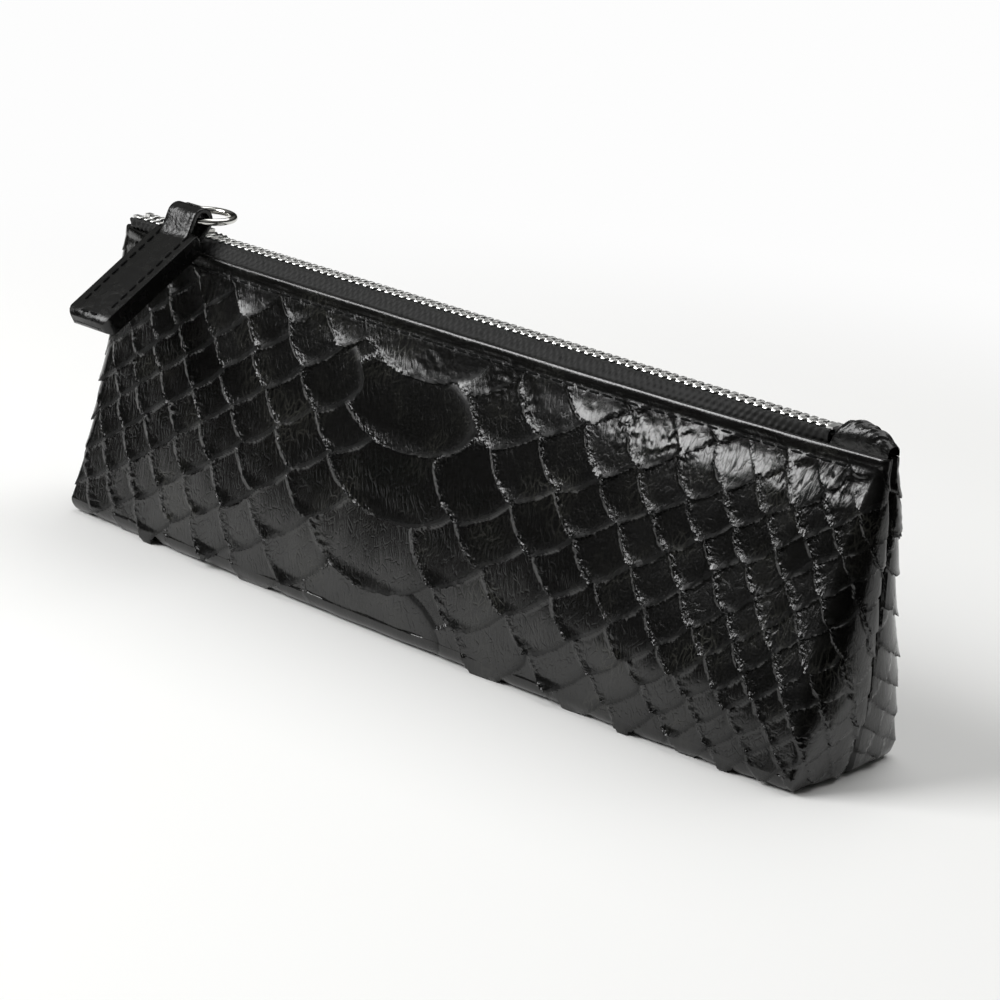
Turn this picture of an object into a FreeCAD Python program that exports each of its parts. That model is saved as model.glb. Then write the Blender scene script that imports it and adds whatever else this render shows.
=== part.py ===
"""Fountain pen case: a boxed leather pouch closed by a small metal zip with a leather pull.

Millimetres. X runs along the zip, -Y is the front, +Z is up. The origin is the middle of the flat base.
"""
import FreeCAD, Part
import math
import os

Vec = FreeCAD.Vector

# Body
TOP_LENGTH = 210.0        # side seam to side seam along the mouth
BASE_LENGTH = 204.0       # corner to corner along the base
BASE_WIDTH = 34.0         # depth of the boxed base
EDGE_HEIGHT = 64.5        # top edge of the leather above the base
MOUTH_MIDDLE = 12.4       # across both leather edges at mid-length
MOUTH_END = 4.8           # across both leather edges at the side seams
SIDE_CROWN = 1.2          # how far each wall swells between base and mouth
BASE_BOW = 2.0            # how far each long edge of the base bows out at mid-length
BASE_RADIUS = 3.2         # rounded edge round the base
END_ROUND_TOP = 1.6       # depth of the rounded end at the mouth
END_ROUND_SWELL = 4.6     # extra depth of the rounded end at mid-height
SEAM_LENGTH = 207.4       # side seam to side seam along the base
SEAM_SWELL = 1.2          # how far each side seam swells out at mid-height
SEAM_GROOVE = 1.2         # depth and half width of the groove along each side seam
LENS_LEFT = 8.0           # power of the mouth's curve: it stays wide up to the slider on the left
LENS_RIGHT = 2.5          # and narrows early towards the end tab on the right
LENS_BASE = 2.5           # power of the base's bow, the same at both ends

# Layers of the wall
LEATHER = 1.0
BACKING = 0.7
LINING = 0.4
SEAM_ALLOWANCE = 2.0      # leather turned inwards at the side seams
SEAM_CORNER = 1.0         # least depth of the rounded corner inside each side seam
LAYER_GAP = 0.15          # glue line between neighbouring layers
LINING_DROP = 0.8         # the lining ends this far below the leather edge

# Zip chain
TOOTH_PITCH = 25.4 / 12
TOOTH_WIDTH = 1.0         # along the chain
TOOTH_BACK = 1.95         # from the chain's middle to the back of a tooth
TOOTH_HEAD = 0.55         # reach of a tooth past the chain's middle
TOOTH_THICKNESS = 1.7
TOOTH_TAPER = 0.65        # thickness of a tooth's tip, as a share of its root
TOOTH_CHAMFER = 0.35
CHAIN_RISE = 2.0          # middle of the chain above the leather edge
TAPE = 0.55
TAPE_SLOT_DEPTH = 1.0     # how deep the tape's edge sits in a tooth
TAPE_SLOT_CLEARANCE = 0.15
TAPE_FLANGE = 6.0         # width of tape sewn behind the leather
TAPE_TURN = 1.0           # beside the slider and this far past it the tape stands up square
ROW_OPENING = 1.0         # each row stands this far aside at the slider's nose
ROW_CLOSING = 0.4         # and comes back this far towards the left end
STOP_LENGTH = 1.5
STOP_CLEARANCE = 0.3
PARTING_START = 1.5       # the rows begin to part this far right of the slider's middle
PARTING_END = 3.0         # and are fully apart this far left of it
PARTING_STEP = 0.6        # spacing of the tape's sections where it follows the parting rows
CLOSED_STEPS = 14         # sections of the tape along the closed chain

# Leather tab over the right end of the zip
END_TAB_LENGTH = 12.0
END_TAB_HEIGHT = 4.9      # above the leather edge
END_TAB_INSET = 1.0       # from the right end of the mouth
END_TAB_CLEARANCE = 0.25
END_TAB_SIDE = 0.45       # height of its upright sides, as a share of its own height

# Slider
SLIDER_FROM_END = 20.0    # from the left end of the mouth to the slider's middle
SLIDER_LENGTH = 8.6
SLIDER_TAIL = 2.6         # half width at the closed end of the chain
SLIDER_NOSE = 3.55        # half width at the open end
PLATE = 0.65
FLANGE = 0.45
CHANNEL_CLEARANCE = 0.12
SHOULDER_X = 2.6          # the slider is widest from its nose to this far left of its middle
WAIST_X = 1.3             # and narrow from this far right of its middle
NOSE_TUCK = 0.2           # how much the nose narrows again
POST_HALF = 0.3
POST_TAPER = 1.6          # length of the post's pointed end
CROWN_WIDTH = 1.7
CROWN_BAR = 0.65
CROWN_ROUND = 0.8         # rounded upper corners
CROWN_EYE_LENGTH = 4.6
EYE_CLEARANCE = 0.15
RING_HEIGHT = 3.1         # ring's middle above the top plate

# Ring and pull strap
RING_RADIUS = 6.1         # to the middle of the wire
RING_WIRE = 0.8           # wire radius
STRAP_WIDTH = 12.6
STRAP_NECK = 8.6          # width of the fold that goes through the ring
STRAP_LENGTH = 35.0       # from the ring's wire to the free end
STRAP_THICKNESS = 4.5
STRAP_LEAF = 1.1
STRAP_FOLD = 1.1          # leather is pared thinner in the fold
STRAP_FOLD_CLEARANCE = 0.15
CORE_BACK = 1.6           # the filler starts this far beyond the fold
STRAP_DROP = 0.05         # top of the strap below the middle of the wire
STRAP_TILT = 32.0         # degrees below level
STRAP_CORNER = 2.6

# Thread
THREAD_RADIUS = 0.28
THREAD_CLEARANCE = 0.06
STITCH_PITCH = 3.2
STITCH_LENGTH = 2.5
STITCH_DROP = 3.0         # below the leather edge
STITCH_END = 7.0          # first stitch from the end of the mouth
PULL_STITCH_INSET = 2.0
PULL_STITCH_PITCH = 2.9
PULL_STITCH_LENGTH = 2.2
PULL_STITCH_SKIP = 1      # no stitches this near the fold underneath, where the pull lies on the case

# Places that follow from the sizes above
HALF_TOP = TOP_LENGTH / 2
CHAIN_Z = EDGE_HEIGHT + CHAIN_RISE
TOOTH_HALF = TOOTH_THICKNESS / 2
PLATE_LOW = TOOTH_HALF + CHANNEL_CLEARANCE
PLATE_TOP_Z = CHAIN_Z + PLATE_LOW + PLATE
RING_Z = PLATE_TOP_Z + RING_HEIGHT
LAYER_2 = LEATHER + BACKING + LAYER_GAP
LAYER_3 = LAYER_2 + LINING
STITCH_Z = EDGE_HEIGHT - STITCH_DROP
FLANGE_Z = EDGE_HEIGHT - TAPE_FLANGE
SLIDER_X = SLIDER_FROM_END - HALF_TOP
SLIDER_NOSE_X = SLIDER_X - SLIDER_LENGTH / 2
SLIDER_TAIL_X = SLIDER_X + SLIDER_LENGTH / 2
TAPE_REACH = SLIDER_LENGTH / 2 + TAPE_TURN
END_TAB_X1 = HALF_TOP - END_TAB_INSET
END_TAB_X0 = END_TAB_X1 - END_TAB_LENGTH
TAPE_X0 = -HALF_TOP + SEAM_ALLOWANCE + SEAM_CORNER
TAPE_X1 = END_TAB_X0 - STOP_CLEARANCE
CHAIN_X0 = TAPE_X0 + STOP_LENGTH
CHAIN_X1 = TAPE_X1 - STOP_LENGTH


def mix(a, b, s):
    return a + (b - a) * s


def rise(z):
    """0 at the base's edge, 1 at the mouth."""
    s = (z - BASE_RADIUS) / (EDGE_HEIGHT - BASE_RADIUS)
    return min(max(s, 0.0), 1.0)


def half_width_end(z):
    return mix(BASE_WIDTH, MOUTH_END, rise(z)) / 2


def half_width_middle(z):
    s = rise(z)
    return mix(BASE_WIDTH / 2 + BASE_BOW, MOUTH_MIDDLE / 2, s) + SIDE_CROWN * math.sin(math.pi * s)


def seam_x(z):
    s = rise(z)
    return mix(SEAM_LENGTH, TOP_LENGTH, s) / 2 + SEAM_SWELL * math.sin(math.pi * s)


def end_round(z):
    s = rise(z)
    base = (SEAM_LENGTH - BASE_LENGTH) / 2
    return mix(base, END_ROUND_TOP, s) + END_ROUND_SWELL * math.sin(math.pi * s)


def lens(f, s):
    """Share of a wall's bow at f, from -1 at the left end to 1 at the right end, at rise s."""
    return 1 - abs(f) ** mix(LENS_BASE, LENS_LEFT if f < 0 else LENS_RIGHT, s)


def half_width(x, z):
    """Outer half depth of the wall at a place along the case."""
    f = min(max(x / (seam_x(z) - end_round(z)), -1.0), 1.0)
    return mix(half_width_end(z), half_width_middle(z), lens(f, rise(z)))


def edge_tuck(z, inset):
    """How far the rounded base edge draws in at a height."""
    radius = BASE_RADIUS - inset
    below = BASE_RADIUS - z
    if below <= 0:
        return 0.0
    return radius - math.sqrt(max(radius * radius - below * below, 0.0))


FRONT_STATIONS = (-1, -0.95, -0.88, -0.78, -0.6, -0.3, 0, 0.3, 0.6, 0.8, 1)
WALL_HEIGHTS = (0.1, 0.25, 0.42, 0.58, 0.74)     # shares of the wall where its shape is given


def flat_end(z, inset, end_inset):
    """Where the long face of a layer ends and its rounded end starts."""
    tuck = edge_tuck(z, inset)
    tip = seam_x(z) - end_inset - tuck
    return min(seam_x(z) - end_round(z) - inset / 2, tip - SEAM_CORNER) - tuck / 2


def face_y(x, z, inset, end_inset):
    """Front face of a layer at a place along the case."""
    span = seam_x(z) - end_round(z)
    stretch = span / flat_end(z, inset, end_inset)
    return edge_tuck(z, inset) + inset - half_width(x * stretch, z)


def section(z, inset, end_inset, middle):
    """Closed outline of the front half at a height; middle is where it is cut off near y = 0."""
    tip = seam_x(z) - end_inset - edge_tuck(z, inset)
    flat = flat_end(z, inset, end_inset)
    points = [Vec(f * flat, face_y(f * flat, z, inset, end_inset), z) for f in FRONT_STATIONS]
    depth = -points[0].y
    seam = min(SEAM_GROOVE, depth / 2)
    corner = math.sqrt(0.5)

    def cap(side):
        start = points[0] if side < 0 else points[-1]
        mid = Vec(side * mix(flat, tip, corner), -mix(seam, depth, corner), z)
        return start, mid, Vec(side * tip, -seam, z)

    left, right = cap(-1), cap(1)
    front = Part.BSplineCurve()
    front.interpolate(points)
    groove = tip - min(SEAM_GROOVE, seam)
    back = [right[2], Vec(groove, middle, z), Vec(-groove, middle, z), left[2]]
    edges = [Part.Arc(left[2], left[1], left[0]).toShape(), front.toShape(),
             Part.Arc(*right).toShape()]
    edges += [Part.LineSegment(p, q).toShape() for p, q in zip(back, back[1:])]
    return Part.Wire(edges)


def half_body(inset, end_inset, top_z, middle=0.0, over=0.0):
    """Solid front half of the case, drawn in by inset; over adds a straight collar above top_z."""
    radius = BASE_RADIUS - inset
    heights = [BASE_RADIUS - radius * math.cos(math.radians(a)) for a in (0, 30, 60, 90)]
    heights += [mix(BASE_RADIUS, EDGE_HEIGHT, s) for s in WALL_HEIGHTS]
    heights += [h for h in (FLANGE_Z, STITCH_Z) if h < top_z] + [top_z]
    wires = [section(z, inset, end_inset, middle) for z in heights]
    if over:
        collar = wires[-1].copy()
        collar.translate(Vec(0, 0, over))
        wires.append(collar)
    return Part.makeLoft(wires, True, True)


def layer(inset, end_inset, thickness, end_thickness, top_z):
    """One layer of the wall and base, front half."""
    outer = half_body(inset, end_inset, top_z)
    inner = half_body(inset + thickness, end_inset + end_thickness, top_z, middle=1.0, over=1.0)
    return outer.cut(inner)


def back_of(shape):
    return shape.mirror(Vec(0, 0, 0), Vec(0, 1, 0))


def box(x0, x1, y0, y1, z0, z1):
    return Part.makeBox(x1 - x0, y1 - y0, z1 - z0, Vec(x0, y0, z0))


def prism(points, direction):
    """Extrudes the closed outline through these points."""
    return Part.Face(Part.makePolygon(points + points[:1])).extrude(direction)


def smooth(s):
    s = min(max(s, 0.0), 1.0)
    return s * s * (3 - 2 * s)


# The rows of teeth part inside the slider, between its tail and its post
PARTING_X = SLIDER_X + PARTING_START
PARTED_X = SLIDER_X - PARTING_END


def row_offset(x):
    parted = smooth((PARTING_X - x) / (PARTING_X - PARTED_X))
    closing = smooth((SLIDER_NOSE_X - x) / (SLIDER_NOSE_X - CHAIN_X0))
    return ROW_OPENING * parted - ROW_CLOSING * closing


def tooth(x):
    """Front-row tooth: a head that meshes and two legs that grip the tape."""
    slot = TAPE / 2 + TAPE_SLOT_CLEARANCE
    head = TOOTH_HALF * TOOTH_TAPER
    back = -TOOTH_BACK
    root = back + TAPE_SLOT_DEPTH
    half = [(back, slot), (back, TOOTH_HALF - TOOTH_CHAMFER / 2), (back + TOOTH_CHAMFER, TOOTH_HALF),
            (-TOOTH_CHAMFER, TOOTH_HALF), (TOOTH_HEAD, head)]
    profile = [(root, slot)] + half + [(y, -z) for y, z in reversed(half)] + [(root, -slot)]
    shift = row_offset(x)
    points = [Vec(x - TOOTH_WIDTH / 2, y - shift, CHAIN_Z + z) for y, z in profile]
    return prism(points, Vec(TOOTH_WIDTH, 0, 0))


def teeth(phase):
    count = int((CHAIN_X1 - CHAIN_X0 - TOOTH_WIDTH - phase) // TOOTH_PITCH) + 1
    first = CHAIN_X0 + TOOTH_WIDTH / 2 + phase
    return [tooth(first + i * TOOTH_PITCH) for i in range(count)]


def thickness_below(line, thickness):
    """The other face of a strip whose one face follows this line across the case."""
    runs = [(b - a).normalize() for a, b in zip(line, line[1:])]
    normals = [Vec(0, run.z, -run.y) for run in runs]
    normals = normals[:1] + normals + normals[-1:]
    return [p + (m + n) * (thickness / (1 + m.dot(n))) for p, m, n in zip(line, normals, normals[1:])]


def tape_section(x):
    """Tape across the zip: a flange sewn behind the leather, a bend, and a web up to the teeth.

    Where the mouth is narrower than the chain the web first leans out, under the teeth.
    """
    low, top = [Vec(x, face_y(x, z, LEATHER, SEAM_ALLOWANCE) + LAYER_GAP, z) for z in (FLANGE_Z, EDGE_HEIGHT)]
    back = -TOOTH_BACK - row_offset(x)
    tip = Vec(x, back + TAPE_SLOT_DEPTH - TAPE_SLOT_CLEARANCE, CHAIN_Z + TAPE / 2)
    entry = Vec(x, back - TAPE - TAPE_SLOT_CLEARANCE, tip.z)
    if top.y < entry.y:
        bend = (top + entry) * 0.5
    else:
        bend = Vec(x, entry.y, CHAIN_Z - TOOTH_HALF - TAPE - TAPE_SLOT_CLEARANCE)
    square = 1 - smooth((abs(x - SLIDER_X) - TAPE_REACH) / TAPE_REACH)
    corner = Vec(x, min(top.y, entry.y), tip.z)
    bend += (corner - bend) * square
    entry += ((corner + tip) * 0.5 - entry) * square
    outer = [low, top, bend, entry, tip]
    points = outer + thickness_below(outer, TAPE)[::-1]
    return Part.makePolygon(points + points[:1])


def zip_tape():
    """Its sections stand close together up to the slider, where the rows part, and far apart beyond it."""
    settled = SLIDER_X + 2 * TAPE_REACH
    steps = round((settled - TAPE_X0) / PARTING_STEP)
    stations = [mix(TAPE_X0, settled, i / steps) for i in range(steps)]
    stations += [mix(settled, TAPE_X1, i / CLOSED_STEPS) for i in range(CLOSED_STEPS + 1)]
    return Part.makeLoft([tape_section(x) for x in stations], True, True)


def zip_stop(x0):
    """Metal clip bent round the tape's edge past the last tooth, front row."""
    tip = -TOOTH_BACK + TAPE_SLOT_DEPTH - row_offset(x0)
    slot = TAPE / 2 + TAPE_SLOT_CLEARANCE
    outside = box(x0, x0 + STOP_LENGTH, tip - TAPE_SLOT_DEPTH, tip + FLANGE,
                  CHAIN_Z - TOOTH_HALF, CHAIN_Z + TOOTH_HALF)
    gap = box(x0 - 1, x0 + STOP_LENGTH + 1, tip - TAPE_SLOT_DEPTH - 1, tip, CHAIN_Z - slot, CHAIN_Z + slot)
    return outside.cut(gap)


def bottom_stop():
    """One clip across both tapes at the right end of the chain."""
    slot = TAPE / 2 + TAPE_SLOT_CLEARANCE
    tip = TOOTH_BACK - TAPE_SLOT_DEPTH
    body = box(CHAIN_X1, CHAIN_X1 + STOP_LENGTH, -TOOTH_BACK, TOOTH_BACK,
               CHAIN_Z - TOOTH_HALF, CHAIN_Z + TOOTH_HALF)
    for side in (-1, 1):
        y0, y1 = sorted((side * tip, side * (TOOTH_BACK + 1)))
        body = body.cut(box(CHAIN_X1 - 1, CHAIN_X1 + STOP_LENGTH + 1, y0, y1, CHAIN_Z - slot, CHAIN_Z + slot))
    return body


END_TAB_SHAPE = ((0.0, 0.82), (0.3, 1.0), (0.6, 0.95), (0.85, 0.7), (1.0, 0.45))  # (along, height) shares


def end_tab_section(s, height):
    """Arched outline across the end tab; s runs from its free edge to the side seam."""
    x = mix(END_TAB_X0, END_TAB_X1, s)
    half = half_width(x, EDGE_HEIGHT) - LEATHER - END_TAB_CLEARANCE
    low = EDGE_HEIGHT
    side = EDGE_HEIGHT + height * END_TAB_SIDE
    top = EDGE_HEIGHT + height
    edges = [Part.LineSegment(Vec(x, half, low), Vec(x, -half, low)).toShape(),
             Part.LineSegment(Vec(x, -half, low), Vec(x, -half, side)).toShape(),
             Part.Arc(Vec(x, -half, side), Vec(x, 0, top), Vec(x, half, side)).toShape(),
             Part.LineSegment(Vec(x, half, side), Vec(x, half, low)).toShape()]
    return Part.Wire(edges)


def end_tab():
    return Part.makeLoft([end_tab_section(s, END_TAB_HEIGHT * h) for s, h in END_TAB_SHAPE], True, True)


def plate_outline(half_shift, z, over=0.0):
    """Slider plan: narrow at the tail, wide at the nose. half_shift draws the sides in."""
    nose, tail = SLIDER_NOSE_X - over, SLIDER_TAIL_X + over
    half = [(nose, SLIDER_NOSE - NOSE_TUCK), (SLIDER_X - SHOULDER_X, SLIDER_NOSE),
            (SLIDER_X + WAIST_X, SLIDER_TAIL), (tail, SLIDER_TAIL)]
    side = [Vec(x, -(w - half_shift), z) for x, w in half]
    return side + [Vec(p.x, -p.y, p.z) for p in reversed(side)]


def slider_body():
    top = prism(plate_outline(0, CHAIN_Z + PLATE_LOW), Vec(0, 0, PLATE))
    bottom = prism(plate_outline(FLANGE, CHAIN_Z - PLATE_LOW - PLATE), Vec(0, 0, PLATE))
    depth = PLATE_LOW - TAPE
    flange = prism(plate_outline(0, CHAIN_Z + TAPE), Vec(0, 0, depth))
    flange = flange.cut(prism(plate_outline(FLANGE, CHAIN_Z + TAPE, over=1.0), Vec(0, 0, depth)))
    wedge = [(PARTED_X + POST_TAPER, 0), (PARTED_X, POST_HALF), (SLIDER_NOSE_X, POST_HALF),
             (SLIDER_NOSE_X, -POST_HALF), (PARTED_X, -POST_HALF)]
    post = prism([Vec(x, y, CHAIN_Z - PLATE_LOW) for x, y in wedge], Vec(0, 0, 2 * PLATE_LOW))
    return top.fuse([bottom, flange, post]).removeSplitter()


EYE_X = SLIDER_X - SLIDER_LENGTH / 4             # the ring's wire lies here in the crown
EYE_HALF = RING_WIRE + EYE_CLEARANCE


def slider_crown():
    """Arch on the top plate with a round-ended eye for the ring."""
    x0 = EYE_X - EYE_HALF
    x1 = x0 + CROWN_EYE_LENGTH
    top = RING_Z + EYE_HALF
    arch = box(x0 - CROWN_BAR, x1 + CROWN_BAR, -CROWN_WIDTH / 2, CROWN_WIDTH / 2, PLATE_TOP_Z, top + CROWN_BAR)
    corners = [e for e in arch.Edges
               if e.BoundBox.ZMin > top and e.BoundBox.YLength > e.BoundBox.XLength]
    arch = arch.makeFillet(CROWN_ROUND, corners)
    last = x1 - EYE_HALF
    eye = box(EYE_X, last, -CROWN_WIDTH, CROWN_WIDTH, RING_Z - EYE_HALF, top)
    ends = [Part.makeCylinder(EYE_HALF, 2 * CROWN_WIDTH, Vec(x, -CROWN_WIDTH, RING_Z), Vec(0, 1, 0))
            for x in (EYE_X, last)]
    return arch.cut(eye.fuse(ends))


RING_X = EYE_X + RING_RADIUS


def pull_ring():
    return Part.makeTorus(RING_RADIUS, RING_WIRE, Vec(RING_X, 0, RING_Z), Vec(0, 0, 1))


# The fold turns about the middle of the wire's bow inside the neck
BOW = math.sqrt(RING_RADIUS ** 2 - (STRAP_NECK / 2) ** 2)
WIRE_OUTSIDE = RING_RADIUS + RING_WIRE
WIRE_INSIDE = BOW - RING_WIRE * RING_RADIUS / BOW
FOLD_Y = -(WIRE_OUTSIDE + WIRE_INSIDE) / 2
FOLD_INNER = (WIRE_OUTSIDE - WIRE_INSIDE) / 2 + STRAP_FOLD_CLEARANCE
FOLD_OUTER = FOLD_INNER + STRAP_FOLD
STRAP_TOP = -STRAP_DROP
STRAP_BOTTOM = STRAP_TOP - STRAP_THICKNESS
TAB_START = FOLD_INNER + STRAP_FOLD / 2
CORE_START = FOLD_OUTER + CORE_BACK


def on_strap(shape):
    """Lays a shape drawn in strap axes (X across, Y towards the free end, Z up) on the case."""
    turned = shape.copy()
    turned.rotate(Vec(0, 0, 0), Vec(0, 0, 1), 180)
    turned.rotate(Vec(0, 0, 0), Vec(1, 0, 0), STRAP_TILT)
    turned.translate(Vec(RING_X, FOLD_Y, RING_Z))
    return turned


def strap_slab(start, low, high):
    """Slab of the strap's width whose two free corners are rounded."""
    slab = box(-STRAP_WIDTH / 2, STRAP_WIDTH / 2, start, STRAP_LENGTH, low, high)
    free = [e for e in slab.Edges
            if e.BoundBox.ZLength > (high - low) / 2 and e.BoundBox.YMin > (start + STRAP_LENGTH) / 2]
    return slab.makeFillet(STRAP_CORNER, free)


def pull_core():
    return strap_slab(CORE_START, STRAP_BOTTOM + STRAP_LEAF, STRAP_TOP - STRAP_LEAF)


def pull_strap():
    """Leather folded round the ring, with its two leaves running out to the free end."""
    neck = Vec(-STRAP_NECK / 2, 0, 0)
    along = Vec(1, 0, 0)
    fold = Part.makeCylinder(FOLD_OUTER, STRAP_NECK, neck, along)
    bore = Part.makeCylinder(FOLD_INNER, STRAP_WIDTH * 2, Vec(-STRAP_WIDTH, 0, 0), along)
    shoulder = box(-STRAP_NECK / 2, STRAP_NECK / 2, 0, CORE_START, STRAP_BOTTOM, STRAP_TOP)
    under = box(-STRAP_WIDTH, STRAP_WIDTH, -STRAP_LENGTH, TAB_START, -STRAP_LENGTH, -FOLD_OUTER)
    body = fold.fuse([shoulder, strap_slab(FOLD_OUTER, STRAP_BOTTOM, STRAP_TOP)])
    return body.cut(bore).cut(under).cut(pull_core())


def stitch(start, end):
    """Straight stitch with round ends cut square."""
    run = end - start
    return Part.makeCylinder(THREAD_RADIUS, run.Length, start, run)


def edge_stitches():
    """Row of stitches along the front panel, below its turned edge."""
    first, last = -HALF_TOP + STITCH_END, HALF_TOP - STITCH_END
    count = int((last - first) // STITCH_PITCH)
    proud = THREAD_RADIUS + THREAD_CLEARANCE
    row = []
    for i in range(count):
        x = first + (last - first - count * STITCH_PITCH) / 2 + i * STITCH_PITCH
        ends = [Vec(u, -half_width(u, STITCH_Z) - proud, STITCH_Z) for u in (x, x + STITCH_LENGTH)]
        row.append(stitch(*ends))
    return row


def pull_stitches():
    """U of stitches on both faces of the pull."""
    half = STRAP_WIDTH / 2 - PULL_STITCH_INSET
    start = CORE_START
    end = STRAP_LENGTH - PULL_STITCH_INSET
    along = int((end - start) // PULL_STITCH_PITCH)
    across = int(2 * half // PULL_STITCH_PITCH)
    proud = THREAD_RADIUS + THREAD_CLEARANCE
    row = []
    for z, first in ((STRAP_TOP + proud, 0), (STRAP_BOTTOM - proud, PULL_STITCH_SKIP)):
        for side in (-half, half):
            for i in range(first, along):
                y = start + i * PULL_STITCH_PITCH
                row.append(stitch(Vec(side, y, z), Vec(side, y + PULL_STITCH_LENGTH, z)))
        for i in range(across):
            x = (i - across / 2) * PULL_STITCH_PITCH + (PULL_STITCH_PITCH - PULL_STITCH_LENGTH) / 2
            row.append(stitch(Vec(x, end, z), Vec(x + PULL_STITCH_LENGTH, end, z)))
    return [on_strap(s) for s in row]


def build():
    panel = layer(0, 0, LEATHER, SEAM_ALLOWANCE, EDGE_HEIGHT)
    backing = layer(LEATHER, SEAM_ALLOWANCE, BACKING, BACKING, FLANGE_Z - LAYER_GAP)
    lining = layer(LAYER_2, SEAM_ALLOWANCE + BACKING + LAYER_GAP, LINING, LINING, EDGE_HEIGHT - LINING_DROP)
    tape = zip_tape()
    stop = zip_stop(CHAIN_X0 - STOP_LENGTH)
    row = edge_stitches()
    return {
        "front_panel": panel, "back_panel": back_of(panel),
        "front_backing": backing, "back_backing": back_of(backing),
        "front_lining": lining, "back_lining": back_of(lining),
        "front_zip_tape": tape, "back_zip_tape": back_of(tape),
        "front_zip_teeth": Part.Compound(teeth(0)),
        "back_zip_teeth": Part.Compound([back_of(t) for t in teeth(TOOTH_PITCH / 2)]),
        "front_top_stop": stop, "back_top_stop": back_of(stop),
        "bottom_stop": bottom_stop(),
        "zip_end_tab": end_tab(),
        "slider_body": slider_body(), "slider_crown": slider_crown(),
        "pull_ring": pull_ring(),
        "pull_strap": on_strap(pull_strap()), "pull_core": on_strap(pull_core()),
        "pull_stitching": Part.Compound(pull_stitches()),
        "front_edge_stitching": Part.Compound(row),
        "back_edge_stitching": Part.Compound([back_of(s) for s in row]),
    }


os.makedirs("parts", exist_ok=True)
for name, shape in build().items():
    shape.exportStep(f"parts/{name}.step")
    b = shape.BoundBox
    print(f"{name:22s} solids {len(shape.Solids):3d} valid {shape.isValid()} volume {shape.Volume:9.1f}"
          f"  x {b.XMin:.1f} {b.XMax:.1f}  y {b.YMin:.1f} {b.YMax:.1f}  z {b.ZMin:.1f} {b.ZMax:.1f}")
travel = CHAIN_X1 - STOP_CLEARANCE - SLIDER_TAIL_X
back_travel = SLIDER_NOSE_X - STOP_CLEARANCE - CHAIN_X0
print(f"slider travel {-back_travel:.2f} to {travel:.2f}; ring axis at x {EYE_X:.3f} z {RING_Z:.3f};"
      f" strap axis at y {FOLD_Y:.3f} z {RING_Z:.3f}")
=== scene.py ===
# %% [markdown]
# # A zipped pen case in glazed black scaled skin
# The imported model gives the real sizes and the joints: a boxed pouch, a small metal zip, a wire ring and a
# folded leather pull. This lesson dresses it. Soft and patterned pieces are modelled again on the same
# places, and the small metal parts keep their own shapes and get a better finish.

# %% Load the frame
import math

import bpy
import numpy as np
from mathutils import Matrix, Vector


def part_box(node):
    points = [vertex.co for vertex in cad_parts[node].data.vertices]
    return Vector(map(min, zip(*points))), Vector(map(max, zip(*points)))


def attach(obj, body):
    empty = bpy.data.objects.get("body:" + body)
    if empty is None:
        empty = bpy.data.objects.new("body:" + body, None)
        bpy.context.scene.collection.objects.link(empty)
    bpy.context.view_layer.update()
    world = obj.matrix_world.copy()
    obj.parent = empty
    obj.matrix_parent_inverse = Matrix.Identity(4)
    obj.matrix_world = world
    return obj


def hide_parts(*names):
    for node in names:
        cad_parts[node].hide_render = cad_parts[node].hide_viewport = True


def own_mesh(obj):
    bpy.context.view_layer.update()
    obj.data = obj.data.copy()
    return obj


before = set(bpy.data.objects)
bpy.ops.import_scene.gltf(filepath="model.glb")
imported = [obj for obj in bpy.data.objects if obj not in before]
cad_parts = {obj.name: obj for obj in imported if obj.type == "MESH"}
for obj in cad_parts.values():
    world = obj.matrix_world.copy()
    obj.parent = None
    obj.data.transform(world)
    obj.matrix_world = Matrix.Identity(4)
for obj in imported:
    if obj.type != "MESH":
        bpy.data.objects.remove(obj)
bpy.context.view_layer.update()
MM = 0.001

# %% [markdown]
# A few helpers serve every step. They turn a written sRGB colour into the linear values that shaders use,
# plug values and links into a shader node, add such a node, make an object the only selected one, because an
# operator acts on everything that is selected, apply a modifier, start a material and put it on a piece.

# %% Helpers
def colour(hex_code):
    parts = [int(hex_code[i:i + 2], 16) / 255 for i in (1, 3, 5)]
    linear = [c / 12.92 if c <= 0.04045 else ((c + 0.055) / 1.055) ** 2.4 for c in parts]
    return (*linear, 1.0)


def plug(tree, node, inputs):
    """Sets a node's inputs: a number or colour is written there, and another node's output is linked."""
    for name, value in inputs.items():
        if isinstance(value, bpy.types.NodeSocket):
            tree.links.new(value, node.inputs[name])
        else:
            node.inputs[name].default_value = value


def add(tree, kind, inputs=None, **settings):
    node = tree.nodes.new(kind)
    for name, value in settings.items():
        setattr(node, name, value)
    plug(tree, node, inputs or {})
    return node


def deselect():
    bpy.ops.object.select_all(action="DESELECT")


def only(piece):
    deselect()
    piece.select_set(True)
    bpy.context.view_layer.objects.active = piece


def apply_modifier(piece, kind, **settings):
    only(piece)
    modifier = piece.modifiers.new(kind.lower(), kind)
    for name, value in settings.items():
        setattr(modifier, name, value)
    bpy.ops.object.modifier_apply(modifier=modifier.name)


def new_material(name):
    """An empty material with one Principled shader; returns the material, its tree and the shader."""
    material = bpy.data.materials.new(name)
    material.use_nodes = True
    tree = material.node_tree
    return material, tree, tree.nodes["Principled BSDF"]


def wear(piece, material):
    piece.data.materials.clear()
    piece.data.materials.append(material)


# %% [markdown]
# The skin follows the same walls as the model: a flat base, sides that lean in to a narrow mouth, ends that
# are round in plan and pinched along a side seam. The sizes below are the model's, in millimetres, and the
# functions give the outer face at any height.

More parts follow.
